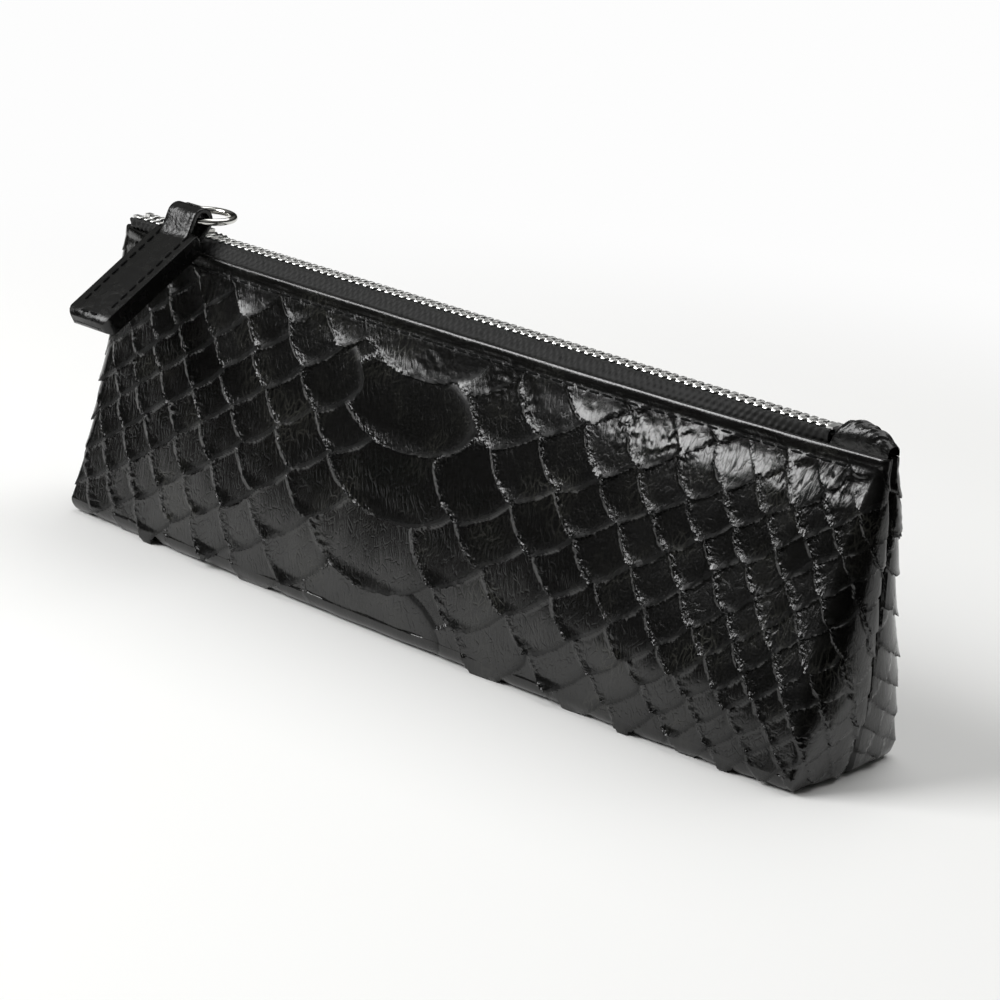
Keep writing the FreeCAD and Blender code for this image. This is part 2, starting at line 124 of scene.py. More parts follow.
# %% Walls of the case
EDGE_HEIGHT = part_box("front_panel")[1].z / MM
TOP_LENGTH = 210.0
BASE_LENGTH = 204.0
SEAM_LENGTH = 207.4
BASE_WIDTH = 34.0
MOUTH_MIDDLE = 12.4
MOUTH_END = 4.8
SIDE_CROWN = 1.2
BASE_BOW = 2.0
BASE_RADIUS = 3.2
SEAM_SWELL = 1.2
END_ROUND_TOP = 1.6
END_ROUND_SWELL = 4.6
SEAM_GROOVE = 1.2
LENS_LEFT, LENS_RIGHT, LENS_BASE = 8.0, 2.5, 2.5    # how square the plan is, where 2 is an ellipse
LEATHER = 1.0


def mix(a, b, s):
    return a + (b - a) * s


def smooth(s):
    s = np.clip(s, 0.0, 1.0)
    return s * s * (3 - 2 * s)


def ramp(value, start, reach):
    """0 up to the start, 1 from start + reach on, and smooth between them."""
    return smooth((value - start) / reach)


def rise(z):
    return np.clip((z - BASE_RADIUS) / (EDGE_HEIGHT - BASE_RADIUS), 0, 1)


def seam_x(z):
    s = rise(z)
    return mix(SEAM_LENGTH, TOP_LENGTH, s) / 2 + SEAM_SWELL * np.sin(np.pi * s)


def end_round(z):
    s = rise(z)
    foot = (SEAM_LENGTH - BASE_LENGTH) / 2
    return mix(foot, END_ROUND_TOP, s) + END_ROUND_SWELL * np.sin(np.pi * s)


def half_width(x, z):
    """Outer half depth of the wall."""
    s = rise(z)
    f = np.clip(x / (seam_x(z) - end_round(z)), -1, 1)
    bow = 1 - np.abs(f) ** mix(LENS_BASE, np.where(f < 0, LENS_LEFT, LENS_RIGHT), s)
    end = mix(BASE_WIDTH, MOUTH_END, s) / 2
    middle = mix(BASE_WIDTH / 2 + BASE_BOW, MOUTH_MIDDLE / 2, s) + SIDE_CROWN * np.sin(np.pi * s)
    return mix(end, middle, bow)


print(f"edge at {EDGE_HEIGHT:.1f} mm, mouth {2 * half_width(0, EDGE_HEIGHT):.1f} mm wide at mid-length")

# %% [markdown]
# Each skin is one grid primitive. Its rows run over the turned top edge, down the wall, round the base and
# under it; its columns run from one side seam round the rounded end, along the face and round the other end.
# Every vertex also gets its place on the flat hide, along and down, in millimetres: the scales are laid out
# on that flat map, as they grew.

# %% Flat map of a skin
SKIN_CELL = 0.43           # mm between vertices, fine enough for the lip of a scale
WALL_STEP = 0.98           # height of a row against its breadth, because the wall leans
CAP_COLUMNS = 28
EDGE_ROWS = 5
FLANGE_ROWS = 3
FLANGE_DEPTH = 4.0         # mm of leather turned into the mouth
BASE_ROWS = 8
GROOVE_STEPS = (1.0, 0.05), (0.3, 0.62)    # inward and outward share of the groove at each of its columns


def skin_rows():
    """Height, inset and y scale of each row, from inside the mouth to the middle of the base."""
    radius = LEATHER / 2
    brow = EDGE_HEIGHT - radius
    rows = [(brow - FLANGE_DEPTH * (1 - i / FLANGE_ROWS), LEATHER, 1.0) for i in range(FLANGE_ROWS)]
    for a in np.linspace(np.pi, 0, EDGE_ROWS, endpoint=False):
        rows.append((brow + radius * math.sin(a), radius * (1 - math.cos(a)), 1.0))
    rows += [(z, 0.0, 1.0) for z in np.arange(brow, BASE_RADIUS, -SKIN_CELL * WALL_STEP)]
    for a in np.linspace(0, np.pi / 2, int(BASE_RADIUS * np.pi / 2 / SKIN_CELL)):
        rows.append((BASE_RADIUS * (1 - math.sin(a)), BASE_RADIUS * (1 - math.cos(a)), 1.0))
    rows += [(0.0, BASE_RADIUS, 1 - i / BASE_ROWS) for i in range(1, BASE_ROWS + 1)]
    return np.array(rows)


def skin_points():
    """Vertices of the front skin as a rows by columns grid, in mm."""
    z, inset, scale = [v[:, None] for v in skin_rows().T]
    front = np.linspace(-1, 1, int(BASE_LENGTH / SKIN_CELL))[None, :]
    tuck = np.where(z < BASE_RADIUS, inset, 0.0)
    tip = seam_x(z) - tuck
    span = seam_x(z) - end_round(z)
    flat = span - tuck / 2
    face = inset - half_width(front * span, z)
    left_depth, right_depth = -face[:, :1], -face[:, -1:]
    seam = np.minimum(SEAM_GROOVE, left_depth / 2)
    turn = np.linspace(np.pi / 2, 0, CAP_COLUMNS, endpoint=False)[None, :]
    cap_x = mix(flat, tip, np.sin(turn))
    left_y, right_y = (-mix(seam, depth, np.cos(turn)) for depth in (left_depth, right_depth))
    groove_x = np.hstack([tip - seam * inward for inward, _ in GROOVE_STEPS])
    groove_y = np.hstack([-outward * seam for _, outward in GROOVE_STEPS])
    x = np.hstack([-groove_x, -cap_x, front * flat, cap_x[:, ::-1], groove_x[:, ::-1]])
    y = np.hstack([groove_y, left_y, face, right_y[:, ::-1], groove_y[:, ::-1]]) * scale
    return np.stack([x, y, np.broadcast_to(z, x.shape)], -1)


def flat_map(points):
    """How far each vertex lies along the hide from its middle, and down it from the mouth's edge."""
    along = np.linalg.norm(np.diff(points, axis=1), axis=2)
    along = np.hstack([np.zeros((len(points), 1)), np.cumsum(along, 1)])
    along -= along[:, along.shape[1] // 2][:, None]
    down = np.linalg.norm(np.diff(points, axis=0), axis=2)
    down = np.vstack([np.zeros((1, points.shape[1])), np.cumsum(down, 0)])
    return along, down - down[FLANGE_ROWS + EDGE_ROWS // 2]


def unit(vectors):
    return vectors / np.maximum(np.linalg.norm(vectors, axis=2, keepdims=True), 1e-9)


def grid_normals(points):
    normals = unit(np.cross(np.gradient(points, axis=1), np.gradient(points, axis=0)))
    middle = normals[len(points) // 2, points.shape[1] // 2]
    return normals if middle[1] < 0 else -normals


skin = skin_points()
along, down = flat_map(skin)
print("skin grid", skin.shape, f"hide {np.ptp(along):.0f} by {np.ptp(down):.0f} mm")

# %% [markdown]
# A snake's hide has one column of wide belly scutes and, on both sides, slanting rows of pointed scales that
# grow smaller away from it. The columns are laid across the flat map from left to right. Each starts half a
# scale further on and half a scale lower than the last one, which makes a net, and a little chance in place
# and size keeps the net from looking printed.

# %% Net of scales
BELLY_WIDTH = 37.0
BELLY_PITCH = 15.3
BELLY_ROWS = range(-2, 7)
BELLY_START = 2            # mm below the mouth, middle of the scute in row 0
BELLY_OVERLAP = 1.2        # length of a scute against its pitch
BELLY_SPREAD = 1.04        # breadth of a scute against its column
BELLY_SHAKE = 0.6, 0.04    # how far scutes vary: mm down the hide, and share of their breadth
BELLY_LIFT = 0.9           # how high a scute's edge stands against a scale's tip
SCALE_SIZES = (            # mm from the belly, width of a scale there and pitch of its column
    (-95, 9.5, 9.5), (-53, 13.5, 13.0), (-30, 17.0, 15.0), (17, 21.0, 16.5),
    (42, 17.0, 14.0), (67, 12.5, 11.5), (87, 9.5, 9.5), (105, 8.0, 8.5))
SCALE_OVERLAP = 1.10       # size of a scale against its cell in the net
SCALE_SHAKE = 0.03         # how far scales vary in place and size, as a share of their size
LIFT_SHAKE = 0.25
SCALE_LIFT = 0.50          # mm, tip over root
SCALE_ROUND, BELLY_ROUND = 1.42, 1.9    # 1 is a diamond and 2 is an ellipse
ROW_SLANT = 0.10           # how much each row drops along the case
COLUMN_LEAN = 0.22         # how much each column leans to the left on its way down
MIDDLE_DOWN = 32.0         # mm below the mouth, where the columns are spaced
NET_REACH = 135.0          # mm to both sides of the hide's middle
NET_ROWS = 8               # rows above and below the middle one
NET_TOP, NET_FOOT = -10, 86    # mm below the mouth
BELLY_LAP = 0.12           # share of its width by which a side scale may lie over the belly


def lay_scales(belly, seed):
    """Centre, level, half breadth, half length, lift, tone and roundness of each scale, lowest first."""
    draw = np.random.default_rng(seed)
    places, widths, pitches = zip(*SCALE_SIZES)
    scales = []
    place, phase = -NET_REACH, 0.0
    while place < NET_REACH:
        width, pitch = (np.interp(place - belly, places, sizes) for sizes in (widths, pitches))
        for row in range(-NET_ROWS, NET_ROWS + 1):
            level = MIDDLE_DOWN + pitch * (row + phase % 1)
            centre = place - COLUMN_LEAN * (level - MIDDLE_DOWN)
            beside = abs(centre - belly) > BELLY_WIDTH / 2 - width * BELLY_LAP
            if NET_TOP < level < NET_FOOT and beside:
                shake = draw.normal(0, 1, 4)
                size = SCALE_OVERLAP * (1 + SCALE_SHAKE * shake[2])
                scales.append((centre + SCALE_SHAKE * width * shake[0],
                               level + SCALE_SHAKE * pitch * shake[1],
                               width * size / 2, pitch * size / 2,
                               SCALE_LIFT * (1 + LIFT_SHAKE * shake[3]), draw.random(), SCALE_ROUND))
        place += width / 2
        phase += 0.5 + ROW_SLANT * width / 2 / pitch
    for row in BELLY_ROWS:
        shake = draw.normal(0, 1, 3)
        scales.append((belly + shake[0], BELLY_START + BELLY_PITCH * row + BELLY_SHAKE[0] * shake[1],
                       BELLY_WIDTH / 2 * (BELLY_SPREAD + BELLY_SHAKE[1] * shake[2]),
                       BELLY_OVERLAP * BELLY_PITCH / 2, BELLY_LIFT * SCALE_LIFT, draw.random(), BELLY_ROUND))
    return sorted(scales, key=lambda scale: -scale[1])


FRONT_BELLY, FRONT_SEED = -7.0, 3
BACK_BELLY, BACK_SEED = 12.0, 11
print(len(lay_scales(FRONT_BELLY, FRONT_SEED)), "scales and scutes laid out for the front")

# %% [markdown]
# Each scale lies over the one below it like a roof tile. So the scales are painted onto the flat map from the
# lowest to the highest: each one covers what is there with its own slope, from its buried root to its lifted
# tip. Four maps come out: the relief, a mark along each scale's rim, which the material turns into painted
# shade, a mark along its wrinkled left edge, and a tone for each scale.

# %% Painting the scales
SCALE_CROWN = 0.30         # mm, middle over sides
RIGHT_CROWN = 1.2          # how much fuller the scales are at the right end
RIGHT_FROM = 20, 40        # mm along the hide, where that starts and how long it takes
TIP_CURL = 0.22            # mm more at the very tip
TIP_PART = 0.6, 0.4        # where the tip starts on a scale from -1 to 1, and how long it is
CALM = 0.4                 # how much flatter the scales lie on the lower wall
CALM_FROM = 42, 12         # mm down the hide
BASE_CURL = 1.60           # mm more at the tips that stand out round the base
BASE_FROM = 62, 5          # mm down the hide
BASE_UNTIL = 86, 8         # mm to both sides, where the ends of the base stay smooth
RIM_SLOPE = 0.32           # mm, breadth of a scale's edge
RIM_WAVE, RIM_WANDER = 7.0, 23.0    # mm, waves in that breadth
RIM_RANGE = 0.4, 2.2       # least and most of it
RIM_MARK, GLINT_MARK = 0.9, 0.8     # mm, how far the rim and the left edge are marked
EDGE_STEEP = 1.6           # turns a scale's own measure, 1 in its middle and 0 at its edge, into about mm
LEFT_FROM = -0.2, 0.3      # left part of a scale, from -1 at its right corner to 1 at its left one
BARE_RELIEF, BARE_RIM, BARE_TONE = -0.1, 0.3, 0.5    # skin that no scale covers


def ripple(values, wave, seed, octaves=3):
    """Smooth irregular wave along a line, about one unit high."""
    draw = np.random.default_rng(seed)
    total = np.zeros_like(values)
    for octave in range(octaves):
        for _ in range(3):
            stretch = 2 ** octave * draw.uniform(0.7, 1.3)
            total += np.sin(values * 2 * np.pi * stretch / wave + draw.uniform(0, 7)) / (1.6 ** octave * 3)
    return total


def paint_scales(scales):
    relief, rim, crease, tone = (np.full_like(along, bare) for bare in (BARE_RELIEF, BARE_RIM, 0, BARE_TONE))
    shear = 1 + ROW_SLANT * COLUMN_LEAN
    uneven = ripple(down - 0.4 * along + 2 * ripple(along, RIM_WANDER, 8), RIM_WAVE, 9)
    brim = RIM_SLOPE * np.clip(1 + 1.1 * uneven - 0.6 * ramp(-along, 30, 40), *RIM_RANGE)
    for centre, level, breadth, half, lift, shade, power in scales:
        beside = np.abs(along - centre) < breadth + half
        near = beside & (np.abs(down - level) < 1.1 * half + ROW_SLANT * breadth)
        across, below = along[near] - centre, down[near] - level
        a = (across + COLUMN_LEAN * below) / shear / breadth
        b = (below - ROW_SLANT * across) / shear / half
        inside = 1 - (np.abs(a) ** power + np.abs(b) ** power)
        edge = np.maximum(inside, 0) * min(breadth, half) / EDGE_STEEP
        cover = smooth(edge / brim[near])
        root = np.clip((b + 1) / 2, 0, 1)
        calm = 1 - CALM * ramp(level, *CALM_FROM)
        dome = SCALE_CROWN * (1 + RIGHT_CROWN * ramp(centre, *RIGHT_FROM)) * (1 - np.minimum(a * a, 1))
        barb = BASE_CURL * ramp(level + half, *BASE_FROM) * (1 - ramp(abs(centre), *BASE_UNTIL))
        curl = (TIP_CURL * calm + barb) * ramp(b, *TIP_PART)
        slope = calm * (lift * root ** 1.5 + dome * root * (1.6 - root)) + curl
        left = np.exp(-edge / GLINT_MARK) * ramp(-a, *LEFT_FROM)
        marks = (relief, slope), (rim, np.exp(-edge / RIM_MARK)), (crease, left), (tone, shade)
        for chart, value in marks:
            chart[near] = mix(chart[near], value, cover)
    return relief, rim, crease, tone


bare = paint_scales([])[0]
print(f"skin with no scale on it lies {-bare.max():.1f} mm below the wall's face")

# %% [markdown]
# The hide is then worked as the maker did: sewn below the turned edge, which puckers it and lets it swell out
# below the seam, and pulled over a padded wall that is fullest low down towards the right end.

# %% Form of the whole skin
CREASE = 0.24              # mm, wrinkles in the left edges of the scales
CREASE_WAVE, CREASE_WANDER, CREASE_PATCH = 1.9, 7.0, 11.0    # mm
STITCH_DROP = 3.0          # mm, seam below the mouth's edge
STITCH_DENT, DENT_REACH = 0.12, 0.7    # mm
SINK = 0.35                # mm, part of the relief that lies below the wall's face
EDGE_FADE = 1.0, 9.0       # mm down the hide, where the scales start and how long they take to rise
SEAM_FADE = 1.5            # mm beside the side seams, where the relief runs out
LOW_SWELL = 1.2            # mm, fullness of the lower wall towards the right end
PILLOW = 0.6               # mm, how far the wall swells below the seam
PUCKER_LEAST, PUCKER_MORE = 0.04, 0.11    # mm, folds below the seam and where the hide is gathered
PUCKER_DOWN, PUCKER_REACH = 4.5, 4.0      # mm below the seam
FOLD_WAVE, FOLD_WANDER, GATHER_WAVE = 2.6, 8.0, 38.0    # mm
WAVER, WAVER_WAVE = 0.10, 31.0    # mm, how far from straight the wall is


def dress_skin(belly, seed):
    """Relief of the whole skin in mm, with the maps that its material reads."""
    relief, rim, crease, tone = paint_scales(lay_scales(belly, seed))
    wrinkle = ripple(down + 0.5 * along + ripple(along, CREASE_WANDER, seed + 4), CREASE_WAVE, seed + 3)
    relief += CREASE * crease * wrinkle * (0.7 + 0.5 * ripple(along - down, CREASE_PATCH, seed + 7))
    below = ramp(down, *EDGE_FADE)
    relief = (relief - SINK) * below
    under = down - STITCH_DROP
    gather = ramp(ripple(along, GATHER_WAVE, seed + 5), -0.5, 0.9) * ramp(along, -60, 90)
    fold = ripple(along + 0.3 * down + 1.3 * ripple(along + down, FOLD_WANDER, seed + 6), FOLD_WAVE, seed + 1)
    pucker = np.exp(-((under - PUCKER_DOWN) / PUCKER_REACH) ** 2) * ramp(under, 0, 1.5)
    pucker = pucker * (PUCKER_LEAST + PUCKER_MORE * gather) * fold
    pillow = ramp(under, 1.2, 6.5) * (1 - ramp(down, 10, 36)) * (0.15 + 0.85 * ramp(along, 15, 45))
    full = ramp(down, 22, 24) * (1 - ramp(down, 46, 22)) * ramp(along, 20, 50)
    relief += LOW_SWELL * full + PILLOW * pillow + pucker
    relief -= STITCH_DENT * np.exp(-(under / DENT_REACH) ** 2)
    relief += WAVER * ripple(along, WAVER_WAVE, seed + 2) * ramp(down, 0, 4)
    beyond = np.abs(along) - along.max(1, keepdims=True) + SEAM_FADE
    relief *= smooth(beyond / -SEAM_FADE + 1) * (down > -0.5)
    return relief, rim * below, crease * below, tone


front_maps = dress_skin(FRONT_BELLY, FRONT_SEED)
back_maps = dress_skin(BACK_BELLY, BACK_SEED)
print(f"relief of the front from {front_maps[0].min():.2f} to {front_maps[0].max():.2f} mm")

# %% [markdown]
# The leather was dyed black and glazed: polished until it shines like lacquer. The eye sees a dark, slightly
# warm ground, sharp highlights, fine crazing in the glaze with its lines painted pale in patches as a painted
# highlight, and a dark rim round each scale: painted shade for the gap under its lip. Metallic with a black
# colour mirrors almost nothing, so it draws that painted shade. The maps painted above drive the rims, and
# noise at real crack sizes drives the rest.

# %% Glazed scaled skin
CRAZE_SIZE = 1.1           # mm between the fine cracks
CRAZE_STRETCH = 3.6        # cracks run further one way than the other
CRAZE_TURNS = 0.5, 1.9     # radians, two directions of cracks
CRAZE_WIDTH = 0.08         # share of the space between two cracks
PATCH_SIZE = 16.0          # mm, patches where the crack lines are painted pale, a painted highlight
BEND_SIZE, BEND_SHIFT = 9.0, 0.006    # mm and m, how the cracks wander
GRAIN_SIZE = 0.4           # mm
CRUMPLE_SIZE = 0.9         # mm, wrinkles in the left edge of a scale
STREAK_SIZE = 0.8          # mm between the streaks that run down each scale
STREAK_TURN, STREAK_STRETCH = 0.25, 0.12    # radians, and breadth against length
OUTLINE_FALL = 1.6         # how fast the dark outline ends inside the rim
OUTLINE_DULL, EDGE_POLISH = 0.5, -0.10      # change of roughness on outlines and on left edges


def mm_scale(size):
    """Texture scale that makes one feature this many millimetres, on coordinates in metres."""
    return 1 / (size * MM)


def cracks(tree, place, turn):
    """Fine crack lines, longer along one direction; 0 on a line and 1 beside it."""
    laid = add(tree, "ShaderNodeMapping", {"Vector": place, "Rotation": (0, 0, turn),
                                           "Scale": (1, 1 / CRAZE_STRETCH, 1)})
    cell = add(tree, "ShaderNodeTexVoronoi", {"Vector": laid.outputs["Vector"], "Randomness": 0.9,
                                              "Scale": mm_scale(CRAZE_SIZE)},
               feature="DISTANCE_TO_EDGE", voronoi_dimensions="2D")
    line = add(tree, "ShaderNodeMapRange", {"Value": cell.outputs["Distance"], "From Max": CRAZE_WIDTH})
    return line.outputs["Result"]


def skin_textures(tree):
    """Grain, patches, crumple, streaks and crack lines on the flat map of the hide."""
    place = add(tree, "ShaderNodeTexCoord").outputs["UV"]
    grain, patch, crumple, bend = (
        add(tree, "ShaderNodeTexNoise", {"Vector": place, "Scale": mm_scale(size), "Detail": detail})
        for size, detail in ((GRAIN_SIZE, 3.0), (PATCH_SIZE, 2.0), (CRUMPLE_SIZE, 2.0), (BEND_SIZE, 2.0)))
    shift = add(tree, "ShaderNodeVectorMath", {0: bend.outputs["Color"], 1: (BEND_SHIFT, BEND_SHIFT, 0.0)},
                operation="MULTIPLY")
    curved = add(tree, "ShaderNodeVectorMath", {0: place, 1: shift.outputs[0]}, operation="ADD").outputs[0]
    craze = add(tree, "ShaderNodeMath", {i: cracks(tree, curved, turn) for i, turn in enumerate(CRAZE_TURNS)},
                operation="MINIMUM")
    combed = add(tree, "ShaderNodeMapping", {"Vector": curved, "Rotation": (0, 0, STREAK_TURN),
                                             "Scale": (1, STREAK_STRETCH, 1)})
    streaks = add(tree, "ShaderNodeTexNoise", {"Vector": combed.outputs["Vector"], "Detail": 2.0,
                                               "Scale": mm_scale(STREAK_SIZE)})
    return [node.outputs["Fac"] for node in (grain, patch, crumple, streaks)] + [craze.outputs[0]]


def glazed_skin():
    material, tree, shader = new_material("glazed scaled leather")
    grain, patch, crumple, streaks, craze = skin_textures(tree)
    rim, crease, tone = (add(tree, "ShaderNodeAttribute", attribute_name=chart).outputs["Fac"]
                         for chart in ("rim", "crease", "tone"))
    # Colour: a tone for each scale, near black along the rims as painted shade, and crack lines painted pale
    # in patches as a painted highlight.
    crack_highlight_patches = add(tree, "ShaderNodeMapRange", {"Value": patch, "From Min": 0.50, "From Max": 0.66})
    lines = add(tree, "ShaderNodeMath", {0: 1.0, 1: craze}, operation="SUBTRACT")
    painted_crack_highlight = add(tree, "ShaderNodeMath", {0: lines.outputs[0], 1: crack_highlight_patches.outputs["Result"]},
                     operation="MULTIPLY")
    ground = colour("#050504")
    for share, tint in ((tone, "#0a0a09"), (rim, "#030303"), (painted_crack_highlight.outputs[0], "#2c2c28")):
        ground = add(tree, "ShaderNodeMix", {"Factor": share, "A": ground, "B": colour(tint)},
                     data_type="RGBA").outputs["Result"]
    # Gloss: uneven polish, dull rims that mirror almost nothing, and shiny left edges.
    rough = add(tree, "ShaderNodeMapRange", {"Value": grain, "From Min": 0.3, "From Max": 0.7,
                                             "To Min": 0.15, "To Max": 0.24})
    brink = add(tree, "ShaderNodeMath", {0: rim, 1: OUTLINE_FALL}, operation="POWER")
    painted_shade_outline = add(tree, "ShaderNodeMath", {0: brink.outputs[0], 1: crease}, operation="SUBTRACT",
                  use_clamp=True).outputs[0]
    dull = add(tree, "ShaderNodeMath", {0: painted_shade_outline, 1: OUTLINE_DULL, 2: rough.outputs["Result"]},
               operation="MULTIPLY_ADD")
    gloss = add(tree, "ShaderNodeMath", {0: crease, 1: EDGE_POLISH, 2: dull.outputs[0]},
                operation="MULTIPLY_ADD")
    # Fine relief: crumpled left edges, streaks, cracks and grain, with each height in metres.
    folded = add(tree, "ShaderNodeMath", {0: crease, 1: crumple}, operation="MULTIPLY")
    bump = {}
    for height, strength, distance in ((folded.outputs[0], 1.0, 0.0005), (streaks, 0.35, 0.00012),
                                       (craze, 0.16, 0.00010), (grain, 0.08, 0.00010)):
        layer = add(tree, "ShaderNodeBump", {"Height": height, "Strength": strength, "Distance": distance,
                                             **bump})
        bump = {"Normal": layer.outputs["Normal"]}
    # Black metallic along the rims mirrors almost nothing: painted shade for the gaps under the lips of the
    # scales.
    plug(tree, shader, {"Base Color": ground, "Metallic": painted_shade_outline, "Roughness": gloss.outputs[0], "IOR": 1.5,
                        "Coat Weight": 0.3, "Coat Roughness": 0.12, **bump})
    return material


skin_leather = glazed_skin()
print("made", skin_leather.name)

# %% [markdown]
# The grid primitive already has the right number of rows and columns, so dressing it is only moving its
# vertices: first onto the wall, then outwards by the relief, with the lifted tips hanging over a little. The
# back skin is the same grid turned to the other side of the zip, with its own scales.

# %% Front and back skins
UNDERCUT = 1.4             # how far a lifted tip hangs over the next scale, against its lift
HANG_SHARE = 1.0, 0.12     # a tip hangs down and a little to the right
LIP_ANGLE = math.radians(40)


def store(mesh, name, values):
    attribute = mesh.attributes.new(name, "FLOAT", "POINT")
    attribute.data.foreach_set("value", values.ravel().astype(np.float32))


def lay_grid(name, points, flat, turned):
    """A grid primitive whose vertices go to these points; flat gives each vertex its place on flat cloth."""
    rows, columns = points.shape[:2]
    deselect()
    bpy.ops.mesh.primitive_grid_add(x_subdivisions=columns - 1, y_subdivisions=rows - 1, size=1)
    piece = bpy.context.object
    piece.name = name
    mesh = piece.data
    mesh.vertices.foreach_set("co", (points * MM).astype(np.float32).ravel())
    corners = np.zeros(len(mesh.loops), np.int32)
    mesh.loops.foreach_get("vertex_index", corners)
    places = (flat.reshape(-1, 2)[corners] * MM).astype(np.float32)
    mesh.uv_layers[0].data.foreach_set("uv", places.ravel())
    if turned:
        mesh.flip_normals()
    mesh.update()
    only(piece)
    bpy.ops.object.shade_smooth()
    return piece


def settle(piece, material, body, slot, *nodes):
    """Gives a finished piece its material and its body, and hides the nodes that it stands for; the slot is
    not used.
    """
    wear(piece, material)
    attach(piece, body)
    if nodes:
        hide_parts(*nodes)
    print(piece.name, len(piece.data.polygons), "faces")


def make_skin(name, side, maps, node):
    relief, rim, crease, tone = maps
    hang = sum(HANG_SHARE[axis] * unit(np.gradient(skin, axis=axis)) for axis in (0, 1))
    points = skin + (grid_normals(skin) + UNDERCUT * hang) * relief[..., None]
    points[..., 2] = np.maximum(points[..., 2], 0.0)
    points[..., 1] = np.minimum(points[..., 1], 0.0) * -side
    piece = lay_grid(name, points, np.stack([along, down], -1), side < 0)
    for chart, values in (("rim", rim), ("crease", crease), ("tone", tone)):
        store(piece.data, chart, values)
    only(piece)
    bpy.ops.object.shade_smooth_by_angle(angle=LIP_ANGLE)
    settle(piece, skin_leather, "case", "skin", node)


make_skin("front_skin", -1, front_maps, "front_panel")
make_skin("back_skin", 1, back_maps, "back_panel")

# %% [markdown]
# The pull and the tab over the zip's end are smooth black calf leather, creased where it was folded and
# finished with edge paint. Creases at two sizes bend the light; the colour hardly changes. The waxed thread
# and the grey fibre board behind the skins are made the same way, but dull. The tape and the lining are plain
# weaves, matt and a little uneven in colour.

# %% Trim leather, tape, thread and cloth
UNEVEN_SIZE = 2.0          # mm, patches of colour in a cloth
WAVE_FACTOR = 10           # a wave texture repeats about this often in one unit


def creased_leather(name, dark, pale, crease, grain_size, dull):
    """Dyed leather with soft creases and fine pores, both given in mm."""
    material, tree, shader = new_material(name)
    place = add(tree, "ShaderNodeTexCoord").outputs["Object"]
    folds = add(tree, "ShaderNodeTexNoise", {"Vector": place, "Scale": mm_scale(crease), "Detail": 3.0,
                                             "Distortion": 0.6}).outputs["Fac"]
    pores = add(tree, "ShaderNodeTexVoronoi", {"Vector": place, "Scale": mm_scale(grain_size)})
    ground = add(tree, "ShaderNodeMix", {"Factor": folds, "A": colour(dark), "B": colour(pale)},
                 data_type="RGBA")
    rough = add(tree, "ShaderNodeMapRange", {"Value": folds, "To Min": dull - 0.08, "To Max": dull + 0.12})
    deep = add(tree, "ShaderNodeBump", {"Height": folds, "Strength": 0.6, "Distance": 0.0004})
    fine = add(tree, "ShaderNodeBump", {"Height": pores.outputs["Distance"], "Strength": 0.2,
                                        "Distance": 0.0001, "Normal": deep.outputs["Normal"]})
    plug(tree, shader, {"Base Color": ground.outputs["Result"], "Roughness": rough.outputs["Result"],
                        "Normal": fine.outputs["Normal"]})
    return material


def woven(name, dark, pale, thread, roughness):
    """Plain weave: two sets of threads at right angles, with the colour of the threads slightly uneven."""
    material, tree, shader = new_material(name)
    place = add(tree, "ShaderNodeTexCoord").outputs["UV"]
    warp, weft = (add(tree, "ShaderNodeTexWave", {"Vector": place, "Scale": mm_scale(thread) / WAVE_FACTOR,
                                                  "Distortion": 0.4},
                      wave_type="BANDS", bands_direction=axis).outputs["Fac"] for axis in ("X", "Y"))
    cross = add(tree, "ShaderNodeMath", {0: warp, 1: weft}, operation="MULTIPLY")
    uneven = add(tree, "ShaderNodeTexNoise", {"Vector": place, "Scale": mm_scale(UNEVEN_SIZE)})
    shade = add(tree, "ShaderNodeMix", {"Factor": uneven.outputs["Fac"], "A": colour(dark),
                                        "B": colour(pale)}, data_type="RGBA")
    raised = add(tree, "ShaderNodeBump", {"Height": cross.outputs[0], "Strength": 0.5, "Distance": 0.0001})
    plug(tree, shader, {"Base Color": shade.outputs["Result"], "Normal": raised.outputs["Normal"],
                        "Roughness": roughness, "Sheen Weight": 0.05})
    return material


trim_leather = creased_leather("edge-painted calf leather", "#060606", "#0e0e0d", 2.6, 0.5, 0.24)
tape_cloth = woven("woven polyester tape", "#070707", "#1a1a19", 0.45, 0.6)
lining_cloth = woven("black viscose lining", "#111111", "#1c1c1c", 0.4, 0.75)
board = creased_leather("grey fibre board", "#2a2927", "#3a3835", 1.5, 0.4, 0.75)
thread_black = creased_leather("waxed polyester thread", "#040404", "#090909", 0.4, 0.2, 0.75)
for matt, level in ((tape_cloth, 0.3), (lining_cloth, 0.15), (thread_black, 0.15)):
    matt.node_tree.nodes["Principled BSDF"].inputs["Specular IOR Level"].default_value = level
print("made", trim_leather.name, tape_cloth.name, lining_cloth.name, board.name, thread_black.name)

# %% [markdown]
# The teeth are stamped aluminium, the slider and its crown are plated zinc and the ring is polished
# nickel-plated wire. Metals take their colour from what they mirror, so each one varies in how finely it was
# polished. The feet of the teeth, down against the tape, are painted dark as painted shade from the tape's
# cord.

# %% Metals
teeth_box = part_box("front_zip_teeth")
TEETH_LOW, TEETH_HIGH = teeth_box[0].z, teeth_box[1].z
FOOT_SHARE = 0.8           # part of a tooth's height over which the painted shade fades
